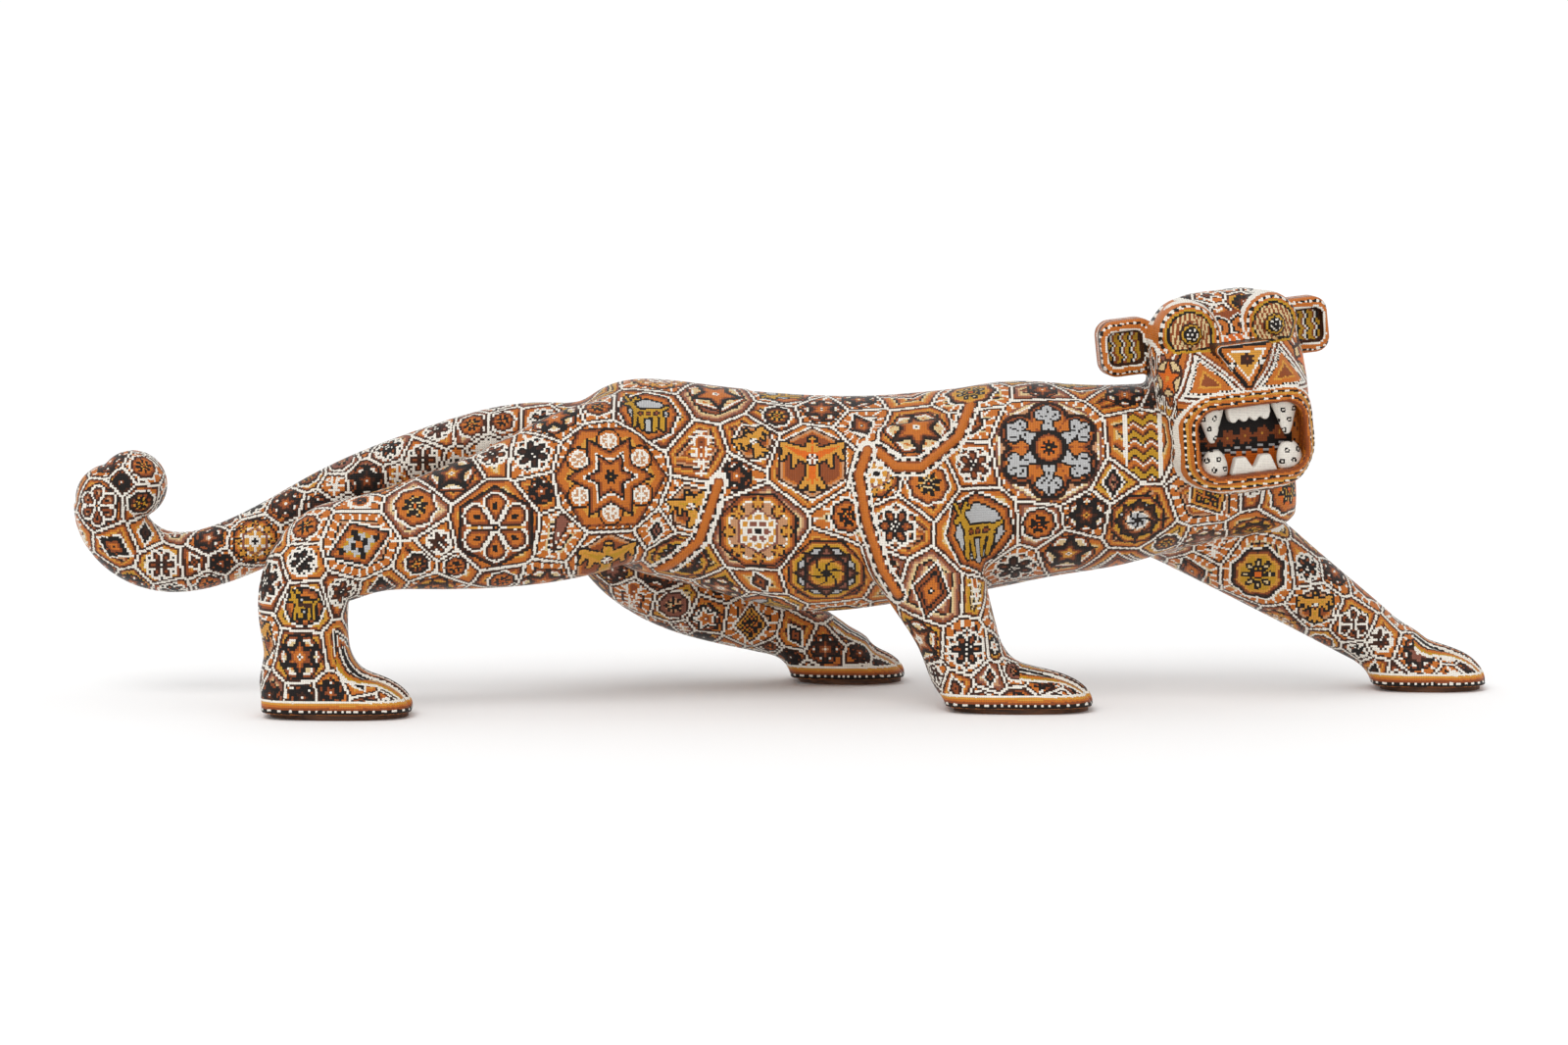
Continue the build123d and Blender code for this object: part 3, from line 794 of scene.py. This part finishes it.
# the largest radius of a filled-in cell, by skin
TRUNK_CELL = 0.034
PAW_CELL = 0.0155
CELL_SIZES = (
    (("tail",), 0.019),
    (("hind", "front"), 0.028),
    (("skull", "jaw", "nose", "eyes"), 0.0125),
    (("ear_",), 0.0105),
)
FILL_RADII = (0.034, 0.028, 0.023, 0.0185, 0.0155, 0.0125, 0.0105)


def scatter(seeds, limit):
    """Fills what is left with cells, the large ones first and none much under the local size."""
    for radius in FILL_RADII:
        for _ in range(400):
            fits = (limit >= radius) & (radius > limit * 0.50)
            open_faces = np.flatnonzero((seeds.gap > radius * 0.94) & fits)
            if not len(open_faces):
                break
            seeds.add(int(RNG.choice(open_faces)), radius)


ECHOES = [inks(text) for text in (
    "rust orange orange amber cream black",
    "brown rust orange amber brown white",
    "rust mauve tan cream black",
    "rust orange amber rust black tan",
    "rust amber mustard brown cream black",
    "orange orange amber rust black rust",
)]
LADDER_SHARE = 0.35  # share of the cells edged with a ladder of white ticks


def paint_cells(seeds, ink):
    """Every cell: a white edge, echoing rows, and its motif."""
    border = seeds.border() / BEAD
    order = np.argsort(seeds.owner[0], kind="stable")
    starts = np.searchsorted(seeds.owner[0][order], np.arange(len(seeds.rows) + 1))
    for number, (face, radius, kind, glow, turn) in enumerate(seeds.rows):
        faces = order[starts[number]:starts[number + 1]]
        if not len(faces):
            continue
        size = radius / BEAD
        kinds = LARGE_KINDS if size > LARGE_FROM else SMALL_KINDS
        picked = kind or kinds[RNG.integers(len(kinds))]
        glows = list(GLOWS)
        shade = glow or glows[RNG.choice(len(glows), p=GLOW_WEIGHTS / GLOW_WEIGHTS.sum())]
        echo = ECHOES[RNG.integers(len(ECHOES))]
        spin = math.radians(turn) if kind else RNG.choice((0, 0.26, -0.26, 0.52))
        normal = seeds.normals[face]
        across = np.cross((0, 0, 1.0), normal)
        if np.linalg.norm(across) < 0.3:
            across = np.cross(normal, (1.0, 0, 0))
        across /= np.linalg.norm(across)
        upward = np.cross(normal, across)
        offset = seeds.centres[faces] - seeds.centres[face]
        x, y = offset @ across, offset @ upward
        stretch = np.linalg.norm(offset, axis=1) / np.maximum(np.hypot(x, y), 1e-6) / BEAD
        x, y = x * stretch, y * stretch
        x, y = x * math.cos(spin) + y * math.sin(spin), y * math.cos(spin) - x * math.sin(spin)
        depth = border[faces]
        cell = echo[(depth.astype(int) - 1) % len(echo)]
        if RNG.random() < LADDER_SHARE:
            tick = (np.arctan2(y, x) * size) % 4.6 < 1.2
            cell[depth < 5.0] = np.where(tick, INK["white"], INK["orange"])[depth < 5.0]
        cell[depth < 1.5] = INK["brown"]
        cell[depth < 0.62] = INK["white"]
        drawn = cell.copy()
        MOTIFS[picked](Spot(x, y, size * 0.97, drawn, shade))
        inside = depth >= 1.5
        cell[inside] = drawn[inside]
        ink[faces] = cell


# ---- painted over the cells
def bands(ink, where, distance, text):
    """Rows of beads by distance, painted only where asked; the text's depths are in millimetres."""
    for limit, colour in rows(text):
        ink[where & (distance < limit * MM)] = colour


def dash(ink, where, distance, start, end):
    """White beads where asked, between two distances in millimetres."""
    ink[where & (distance > start * MM) & (distance < end * MM)] = INK["white"]


def paint_cords(ink, centres, normals):
    """Orange cords edged in brown, with a dashed white row on top."""
    x, y, z = centres.T
    for cord in CORDS:
        distance, along = to_polyline(x, z, cord)
        outer = (np.abs(y) > CORD_OUTER) & (np.abs(normals[:, 1]) > 0.2) & (z > 0.1)
        near = outer & (distance < 0.0105)
        bands(ink, near, distance, "3.8 orange 5.2 rust 7.6 black 10.2 white")
        dash(ink, near & ((along % 0.0110) < 0.0040), distance, 5.2, 7.6)


def paint_paws(ink, centres):
    """Each paw's rim: orange row, dark band with white dashes; toes outlined."""
    x, y, z = centres.T
    for name in LEG_NAMES:
        (x0, y0, _), (x1, y1, _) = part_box(f"{name}_paw_block")
        paw = (x > x0 - 0.01) & (x < x1 + 0.01) & (y > y0 - 0.01) & (y < y1 + 0.01) & (z < PAW_HIGH)
        toes = paw & (x > x1 - 0.075) & (z > 0.018)
        lane = np.min([np.abs(y - line) for line in toe_lines(name, x)[1]], axis=0)
        bands(ink, toes & (lane < 0.0135), lane,
              "2.2 black 4.4 white 6.6 brown 8.8 orange 11 mustard 13.5 white")
        turn = np.arctan2(y - (y0 + y1) / 2, x - (x0 + x1) / 2)
        rim = paw & (z < 0.021)
        bands(ink, rim, z, "7.2 orange 11.6 black 13.8 rust 16 orange 18.5 amber 21 white")
        dash(ink, rim & ((turn * 14) % 2 < 0.8), z, 9.4, 11.6)


def dashed(turn, count, share=0.5):
    """True on the dashes of a row that runs round a middle."""
    return (turn * count / (2 * np.pi)) % 1 < share


def paint_eyes(ink, on_head, across, up, ahead):
    """Dark scalloped eyes with light dots, ticks round them and arched brows over them."""
    wide = np.abs(across)
    eye = np.hypot(wide - EYE_AT[0], up - EYE_AT[1])
    turn = np.arctan2(up - EYE_AT[1], wide - EYE_AT[0])
    almond = np.maximum(eye - 0.0215, EYE_AT[1] - 0.0145 - up)
    over = (almond < 0.0044) | (up > EYE_AT[1] - 0.0175)
    brow = on_head & (ahead > -0.005) & (almond < 0.0135) & (wide > 0.003) & over
    bands(ink, brow, almond, "0 rust 2.2 black 4.4 mustard 6.2 orange 8.8 black 11 orange 13.5 white")
    ticks = brow & (almond < 0) & (((wide + 0.3 * up) % 0.0048) < 0.0024)
    ink[ticks] = INK["cream"]
    dash(ink, brow & dashed(turn, 20), almond, 6.2, 8.8)
    scallop = eye * (1 + 0.06 * np.cos(10 * turn))
    ball = on_head & (ahead > 0.03) & (eye < 0.0125)
    bands(ink, ball, scallop, "8.2 black 10.2 mustard 12.5 brown")
    dots = np.minimum(np.abs(eye - 0.0052) + 0.5 * (~dashed(turn, 6)), eye)
    ink[ball & (dots < 0.0012)] = INK["white"]


def paint_nose(ink, nose, on_head, across, up, ahead, facing):
    """The nose pad, the two cells and the striped strip over it, and the muzzle's triangles."""
    wide = np.abs(across)
    bridge = on_head & (ahead > 0.0) & (wide < 0.024) & (up > 0.052) & (up < 0.084)
    ink[bridge] = INK["rust"]
    cell = polygon(Spot(wide - 0.0105, up - 0.070 + ahead * 0.02), 6, 0.0094)
    bands(ink, bridge, -cell, "0 rust 2.2 black 6.6 orange brown")
    ink[bridge & (cell >= 0) & (cell < 0.0014)] = INK["white"]
    strip = on_head & (ahead > 0.03) & (wide < 0.030) & (np.abs(up - 0.0565) < 0.0042)
    ink[strip] = np.where(((across + 0.6 * up)[strip] % 0.0088) < 0.0024, INK["white"], INK["bright"])
    rising = ((wide - 0.008) * 0.042 - (up - 0.004) * 0.038) / 0.0566
    falling = ((0.068 - wide) * 0.042 - (up - 0.004) * 0.022) / 0.0474
    triangle = np.minimum(np.minimum(up - 0.003, falling), rising)
    beside = on_head & (ahead > 0.030) & (triangle < 0) & (wide < 0.072) & (up > -0.010) & (up < 0.050)
    stripes = inks("rust white rust orange orange black")
    ink[beside] = stripes[(-triangle[beside] / BEAD).astype(int) % len(stripes)]
    muzzle = on_head & (ahead > 0.030) & (triangle > -0.0012)
    bands(ink, muzzle, triangle, "0 brown 2.2 white 4.4 black 8.8 orange 11 amber rust")
    dash(ink, muzzle & ((across * 1.3 + up) % 0.0048 < 0.0024), triangle, 2.2, 4.4)
    ink[nose] = INK["orange"]
    inset = np.minimum(0.054 - up, ((up - 0.004) * 0.034 - wide * 0.050) / 0.0605)
    flat = nose & (facing > 0.55)
    bands(ink, nose & ~flat, 0.111 - ahead, "6 black 10 white 18 orange brown")
    bands(ink, flat, inset, "2.6 black 6.2 orange 8.2 white amber")
    petal = petals(Spot(across / BEAD, (up - 0.038) / BEAD), 6, 2.0, 1.8, 1.0, 0.5)
    ink[flat & (petal < 0)] = INK["brown"]
    ink[flat & (np.hypot(across, up - 0.038) < 0.0014)] = INK["rust"]
    nostril = np.hypot((wide - 0.0170) / 1.3, up - 0.0330)
    ink[flat & (nostril < 0.0040)] = INK["black"]
    ink[flat & (nostril < 0.0026)] = INK["white"]


def paint_mouth(ink, on_head, across, up, ahead, facing):
    """Lips in rolled rows, and the inside: dark with brown flowers over a bright lower panel."""
    mouth = mouth_distance(across, up)
    turn = np.arctan2(up - MOUTH_MIDDLE, across * 0.62)
    lip = on_head & (ahead > 0.035) & (mouth >= -0.0005) & (mouth < 0.0176)
    bands(ink, lip, mouth,
          "2.2 rust 4.4 orange 6.6 black 8.8 orange 11 amber 13.2 black 15.4 orange 17.6 white")
    dash(ink, lip & dashed(turn, 34, 0.3), mouth, 4.4, 6.6)
    dash(ink, lip & dashed(turn, 42, 0.35), mouth, 11, 13.2)
    inside = on_head & (mouth < -0.0005) & (ahead > 0.02)
    ink[inside] = INK["orange"]
    spots = to_honeycomb(across + ahead, up - ahead, 4 * BEAD)
    ink[inside & (spots < 0.0017)] = INK["black"]
    back = inside & (facing > 0.5) & (ahead < 0.085)
    lower = MOUTH_MIDDLE - 0.012 + 0.0022 * np.sign(np.sin(across * 520))
    dark = back & (up > lower) & (np.abs(across) < 0.050)
    ink[dark] = INK["black"]
    flower_x = (across + 0.0095) % 0.019 - 0.0095
    flower_y = up - MOUTH_MIDDLE - 0.001
    flower = petals(Spot(flower_x / BEAD, flower_y / BEAD), 6, 2.4, 1.8, 1.25)
    ink[dark & (flower < 0)] = INK["rust"]
    ink[dark & (np.hypot(flower_x, flower_y) < 0.0013)] = INK["amber"]
    edge = back & (up <= lower) & (up > lower - 0.0046) & (np.abs(across) < 0.050)
    bands(ink, edge, lower - up, "2.4 grey 4.6 brown")
    ink[back & (up <= lower - 0.0046) & (np.abs(across) < 0.030)] = INK["bright"]


def paint_ears(ink, ear, across, up, ahead):
    """Cupped ears: a rolled rim with a dashed dark row, and wavy columns in the cup."""
    ear_u = np.abs(across) - EAR_RECESS_AT[0]
    ear_v = up - EAR_RECESS_AT[1]
    cup = box_distance(ear_u, ear_v, EAR_RECESS_HALF, 0.008)
    turn = np.arctan2(ear_v, ear_u)
    hollow = ear & (cup < 0.0005)
    column = (ear_u + 0.0018 * np.sin(ear_v / 0.0022)) % 0.0110
    bands(ink, hollow, column, "2.2 white 4.4 black 8.8 mustard 11 rust")
    ink[hollow & (cup > -0.0022)] = INK["brown"]
    rim = ear & (cup >= 0.0005) & (ahead > -0.014)
    bands(ink, rim, cup, "2.4 white 6.6 orange 9 black orange")
    dash(ink, rim & dashed(turn, 26), cup, 6.6, 9)
    shell = ear & ~hollow & ~rim
    bands(ink, shell, (ahead + 0.060) % (8 * BEAD), "2.2 white 6.6 orange 11 black 15.4 orange 17.6 rust")


def paint_head(ink, centres, normals, region):
    """The face and ears, in the head's own frame."""
    on_head = np.isin(region, ("skull_skin", "jaw_skin", "nose_pad", "eyes"))
    across, up, ahead = head_local(*centres.T)
    facing = normals @ FORWARD
    wide = np.abs(across)
    paint_nose(ink, region == "nose_pad", on_head, across, up, ahead, facing)
    # an orange star on a pale ground on each cheek
    slide = (wide - CHEEK_AT[0]) * 0.72 - (ahead - CHEEK_AT[2]) * 0.69
    rise = up - CHEEK_AT[1]
    away = np.hypot(slide, rise)
    rays = star(Spot(slide / BEAD, rise / BEAD), 5, 8.2, 3.4, np.pi / 2)
    patch = on_head & (away < 0.0205) & (ahead > 0.01) & (wide > 0.060)
    bands(ink, patch, away, "18 cream 20.5 brown")
    ink[patch & (rays < 1.2)] = INK["brown"]
    ink[patch & (rays < 0)] = INK["bright"]
    ink[patch & (rays < -2.2)] = INK["amber"]
    paint_eyes(ink, on_head & (region != "nose_pad"), across, up, ahead)
    paint_mouth(ink, on_head & (region != "nose_pad"), across, up, ahead, facing)
    paint_ears(ink, np.isin(region, ("right_ear_skin", "left_ear_skin")), across, up, ahead)


# ---- panels of beads
def nearest_nodes(centres, names):
    """Name of the CAD node nearest to each face."""
    points, triangles = triangles_of(names)
    owner = np.repeat(names, [len(NODES[name].data.loop_triangles) for name in names])
    tree = BVHTree.FromPolygons(points.tolist(), triangles.tolist(), all_triangles=True)
    return owner[[tree.find_nearest(centre)[2] for centre in centres.tolist()]]


GLASS_SHARE = 0.95  # how much of its colour a bead sends back
SHADE_SPREAD = 0.10  # how much the beads of one colour differ


def linear(levels):
    """Screen levels as linear light."""
    c = np.array(levels) / 255
    return np.where(c <= 0.04045, c / 12.92, ((c + 0.055) / 1.055) ** 2.4)


PALETTE = np.array([linear(rgb) for rgb in SHADES.values()]) * GLASS_SHARE


def panel(name, points, quads, ink, replaced):
    """One piece of beadwork as its own object, each quad one bead."""
    co, index = compact(points, quads)
    made = to_mesh(name, co, index)
    mesh = made.data
    mesh.polygons.foreach_set("use_smooth", np.ones(len(index), bool))
    layer = mesh.uv_layers.new(name="bead_uv")
    layer.uv.foreach_set("vector", np.tile((0, 0, 1, 0, 1, 1, 0, 1), len(index)).astype(np.float32))
    shade = PALETTE[ink] * (1 + SHADE_SPREAD * (RNG.random(len(index))[:, None] - 0.5))
    colour = mesh.attributes.new("bead_colour", "FLOAT_COLOR", "FACE")
    colour.data.foreach_set("color", np.c_[shade, np.ones(len(index))].astype(np.float32).ravel())
    mesh.materials.append(BEAD_MATERIAL)
    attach(made, ROOT)
    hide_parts(replaced)


# ---- materials
class Graph:
    """Small helper to lay out a material's nodes."""

    def __init__(self, name):
        self.material = bpy.data.materials.new(name)
        self.material.use_nodes = True
        self.tree = self.material.node_tree
        self.shader = self.tree.nodes["Principled BSDF"]

    def put(self, socket, value):
        if isinstance(value, bpy.types.NodeSocket):
            self.tree.links.new(value, socket)
        else:
            socket.default_value = value

    def fill(self, node, **values):
        """Sets a node's sockets, named with _ for a space, to values or to links from other sockets."""
        for key, value in values.items():
            self.put(node.inputs[key.replace("_", " ")], value)
        return node

    def node(self, kind, settings=None, **values):
        made = self.tree.nodes.new("ShaderNode" + kind)
        for key, value in (settings or {}).items():
            setattr(made, key, value)
        return self.fill(made, **values)

    def apply(self, kind, operation, *terms):
        made = self.node(kind, {"operation": operation})
        for socket, term in zip(made.inputs, terms):
            self.put(socket, term)
        return made

    def math(self, operation, *terms):
        return self.apply("Math", operation, *terms).outputs[0]

    def fade(self, value, start, end, before, after):
        """A smooth change of value between two places."""
        return self.node("MapRange", {"interpolation_type": "SMOOTHSTEP"}, Value=value, From_Min=start,
                         From_Max=end, To_Min=before, To_Max=after).outputs[0]

    def bump(self, height, strength, distance):
        bumped = self.node("Bump", Height=height, Strength=strength, Distance=distance)
        self.fill(self.shader, Normal=bumped.outputs[0])


def glass_beads():
    """Glossy glass seed beads: one dome a face and a small hole, with painted shade in each bead's
    colour: darker in the hole, and darker at the edge, where it stands both for the shade between the
    domes and for the dark wax between.
    """
    g = Graph("glass_beads")
    place = g.node("UVMap", {"uv_map": "bead_uv"}).outputs[0]
    middle = g.apply("VectorMath", "SUBTRACT", place, (0.5, 0.5, 0)).outputs[0]
    away = g.math("MULTIPLY", g.apply("VectorMath", "LENGTH", middle).outputs["Value"], 2.0)
    dome = g.math("SUBTRACT", 1.15, g.math("MULTIPLY", away, away))
    dome = g.math("SQRT", g.math("MAXIMUM", dome, 0.0))
    # painted shade: the bead's colour darkens towards the hole in its middle; the same value dips the
    # bump there
    hole_dip_and_shade = g.fade(away, 0.12, 0.34, 0.62, 1.0)
    # painted shade: the bead's colour darkens towards its edge, for the shade between the domes and for
    # the dark wax there; the gloss is rougher there too
    gap = g.fade(away, 0.92, 1.22, 1.0, 0.45)
    colour = g.node("Attribute", {"attribute_name": "bead_colour"}).outputs["Color"]
    # the bead's colour with both painted shades
    tint_with_painted_shade = g.fill(g.apply("VectorMath", "SCALE", colour), Scale=g.math("MULTIPLY", hole_dip_and_shade, gap)).outputs[0]
    g.bump(g.math("MULTIPLY", dome, hole_dip_and_shade), 0.55, BEAD * 0.35)
    rough = g.math("SUBTRACT", 0.62, g.math("MULTIPLY", gap, 0.34))
    g.fill(g.shader, Base_Color=tint_with_painted_shade, Roughness=rough, Specular_IOR_Level=0.22)
    return g.material


def wood(name, pale, dark, scale):
    """Carved wood: noise rings stretched along the grain, between a dark and a pale tone, with a light
    bump from the same rings.
    """
    g = Graph(name)
    place = g.node("TexCoord").outputs["Object"]
    grain = g.node("Mapping", Vector=place, Scale=(scale * 0.12, scale, scale)).outputs[0]
    rings = g.node("TexNoise", Vector=grain, Scale=6.0, Detail=6.0, Distortion=0.8).outputs["Fac"]
    ramp = g.node("ValToRGB", Fac=rings)
    for element, position, levels in zip(ramp.color_ramp.elements, (0.35, 0.65), (dark, pale)):
        element.position = position
        element.color = (*linear(levels), 1)
    g.fill(g.shader, Base_Color=ramp.outputs[0], Roughness=0.68)
    g.bump(rings, 0.3, 0.0006)
    return g.material


BEAD_MATERIAL = glass_beads()
CARVED = wood("carved_wood", (0xD2, 0xA6, 0x70), (0xA8, 0x78, 0x48), 22)
DOWEL = wood("dowel_wood", (0xE0, 0xC0, 0x90), (0xC0, 0x98, 0x68), 60)
SOLE_WOOD = wood("sole_wood", (0x6A, 0x42, 0x26), (0x3C, 0x24, 0x14), 30)


# ---- build the beadwork
form = add_relief(build_form())
points, quads = surface_of(form, VOXEL, BAND, LOW)
points, quads = compact(points, main_island(quads, len(points)))
points = relax(points, quads, form, LOW, VOXEL)
centres, normals = face_frames(points, quads)

SKINS = nodes_like("_skin") + ["nose_pad", "eyes"]
region = nearest_nodes(centres, SKINS)

limit = np.full(len(centres), TRUNK_CELL)
for name in SKINS:
    for words, radius in CELL_SIZES:
        if not name.startswith("torso") and any(word in name for word in words):
            limit[region == name] = radius
limit[centres[:, 2] < PAW_HIGH] = PAW_CELL

seeds = Seeds(centres, normals)
for row in PLACED + ENDS:
    seeds.place(row, True)
for row in PLACED:
    if row[0] / 1000 > FAR_SIDE_FROM and row[1] / 1000 > FAR_SIDE_OVER:
        seeds.place(row, False)
scatter(seeds, limit)
ink = np.zeros(len(centres), int)
paint_cells(seeds, ink)
paint_cords(ink, centres, normals)
paint_paws(ink, centres)
paint_head(ink, centres, normals, region)

def add_panel(name, replaced, where):
    """One panel of beads on the form, where asked, if there is any."""
    if where.any():
        panel(name, points, quads[where], ink[where], replaced)


for name in SKINS:
    hit = region == name
    stem = name.replace("_skin", "_beads")
    if name == "nose_pad":
        add_panel("nose_pad_beads", name, hit)
    elif name == "eyes":
        across = head_local(*centres.T)[0]
        add_panel("eyes_beads_right", name, hit & (across < 0))
        add_panel("eyes_beads_left", name, hit & (across >= 0))
    elif name.startswith("torso"):
        add_panel(f"{stem}_right", name, hit & (centres[:, 1] < 0))
        add_panel(f"{stem}_left", name, hit & (centres[:, 1] >= 0))
    else:
        add_panel(stem, name, hit)


# ---- teeth
def tooth_piece(name, ringed):
    """Teeth laid with small white beads, with rings of black beads where asked."""
    low_corner, high_corner = (np.array(c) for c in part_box(name))
    low = np.floor(low_corner / FINE_VOXEL).astype(int) - 4
    shape = tuple(np.ceil(high_corner / FINE_VOXEL).astype(int) + 4 - low)
    values = level_set([name], FINE_VOXEL, FINE_BAND, low, shape)
    tooth_points, tooth_quads = surface_of(values, FINE_VOXEL, FINE_BAND, low)
    tooth_points = relax(tooth_points, tooth_quads, values, low, FINE_VOXEL)
    tooth_ink = np.full(len(tooth_quads), INK["white"])
    if ringed:
        middle, _ = face_frames(tooth_points, tooth_quads)
        across, up, _ = head_local(*middle.T)
        away = to_honeycomb(across, up, RING_PITCH)
        tooth_ink[(away > 0.0013) & (away < 0.0029)] = INK["black"]
    panel(f"{name}_beads", tooth_points, tooth_quads, tooth_ink, name)


for name in ("upper_fangs", "lower_fangs", "upper_front_teeth", "lower_front_teeth"):
    tooth_piece(name, name.endswith("fangs"))


# ---- wood parts
def islands(mesh):
    """A label for each vertex, the same all over each loose solid."""
    edges = np.zeros(len(mesh.edges) * 2, np.int32)
    mesh.edges.foreach_get("vertices", edges)
    co = np.zeros(len(mesh.vertices) * 3)
    mesh.vertices.foreach_get("co", co)
    _, same = np.unique(np.round(co.reshape(-1, 3), 6), axis=0, return_inverse=True)
    same = same.ravel()
    return joined(*same[edges.reshape(-1, 2)].T, same.max() + 1)[same]


def split_group(name, word, material):
    """One piece for each loose solid of a CAD node."""
    source = NODES[name].data
    labels = islands(source)
    for number, label in enumerate(np.unique(labels)):
        kept = [p.vertices[:] for p in source.polygons if labels[p.vertices[0]] == label]
        used = sorted({v for face in kept for v in face})
        index = {v: i for i, v in enumerate(used)}
        mesh = bpy.data.meshes.new(f"{word}_{number}")
        mesh.from_pydata([source.vertices[v].co[:] for v in used], [],
                         [[index[v] for v in face] for face in kept])
        mesh.materials.append(material)
        made = add_object(f"{word}_{number}", mesh)
        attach(made, ROOT)
        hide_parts(name)


for name in sorted(NODES):
    if name.endswith("_dowels"):
        split_group(name, name.replace("_dowels", "_dowel"), DOWEL)
split_group("sole_pads", "sole_pad", SOLE_WOOD)
for name in nodes_like("_block"):
    for material_slot in NODES[name].material_slots:
        material_slot.material = CARVED

# ---- stage
FLOOR = 160  # half width of the floor, so its edge is far from every view
floor_mesh = bpy.data.meshes.new("floor")
corners = [(-FLOOR, -FLOOR, 0), (FLOOR, -FLOOR, 0), (FLOOR, FLOOR, 0), (-FLOOR, FLOOR, 0)]
floor_mesh.from_pydata(corners, [], [(0, 1, 2, 3)])
floor = add_object("floor", floor_mesh)
white_floor = Graph("white_floor")
speckle = white_floor.node("TexNoise", Scale=3.0).outputs["Fac"]
tone = white_floor.node("MapRange", Value=speckle, To_Min=0.95, To_Max=0.97).outputs[0]
white_floor.fill(white_floor.shader, Base_Color=tone, Roughness=0.9)
floor_mesh.materials.append(white_floor.material)

world = bpy.data.worlds.new("white_sweep")
world.use_nodes = True
sky = world.node_tree.nodes["Background"]
sky.inputs["Color"].default_value = (1, 1, 1, 1)
sky.inputs["Strength"].default_value = 0.88
bpy.context.scene.world = world

key = bpy.data.lights.new("key", "SUN")
key.energy = 0.95
key.angle = math.radians(35)
key_lamp = add_object("key", key)
key_lamp.rotation_euler = Vector((0.35, 0.75, -1.1)).to_track_quat("-Z", "Y").to_euler()

camera_data = bpy.data.cameras.new("camera")
camera = add_object("camera", camera_data)
CAMERA_UP = math.radians(6.5)
CAMERA_AWAY = 7.0
TARGET = Vector((0, 0, 0.19))
camera.location = TARGET + Vector((0, -math.cos(CAMERA_UP), math.sin(CAMERA_UP))) * CAMERA_AWAY
camera.rotation_euler = (TARGET - camera.location).to_track_quat("-Z", "Y").to_euler()
camera_data.lens = 150
camera_data.sensor_width = 36
bpy.context.scene.camera = camera
bpy.context.scene.view_settings.view_transform = "Standard"

# ---- bring the scene up to date
bpy.context.view_layer.update()
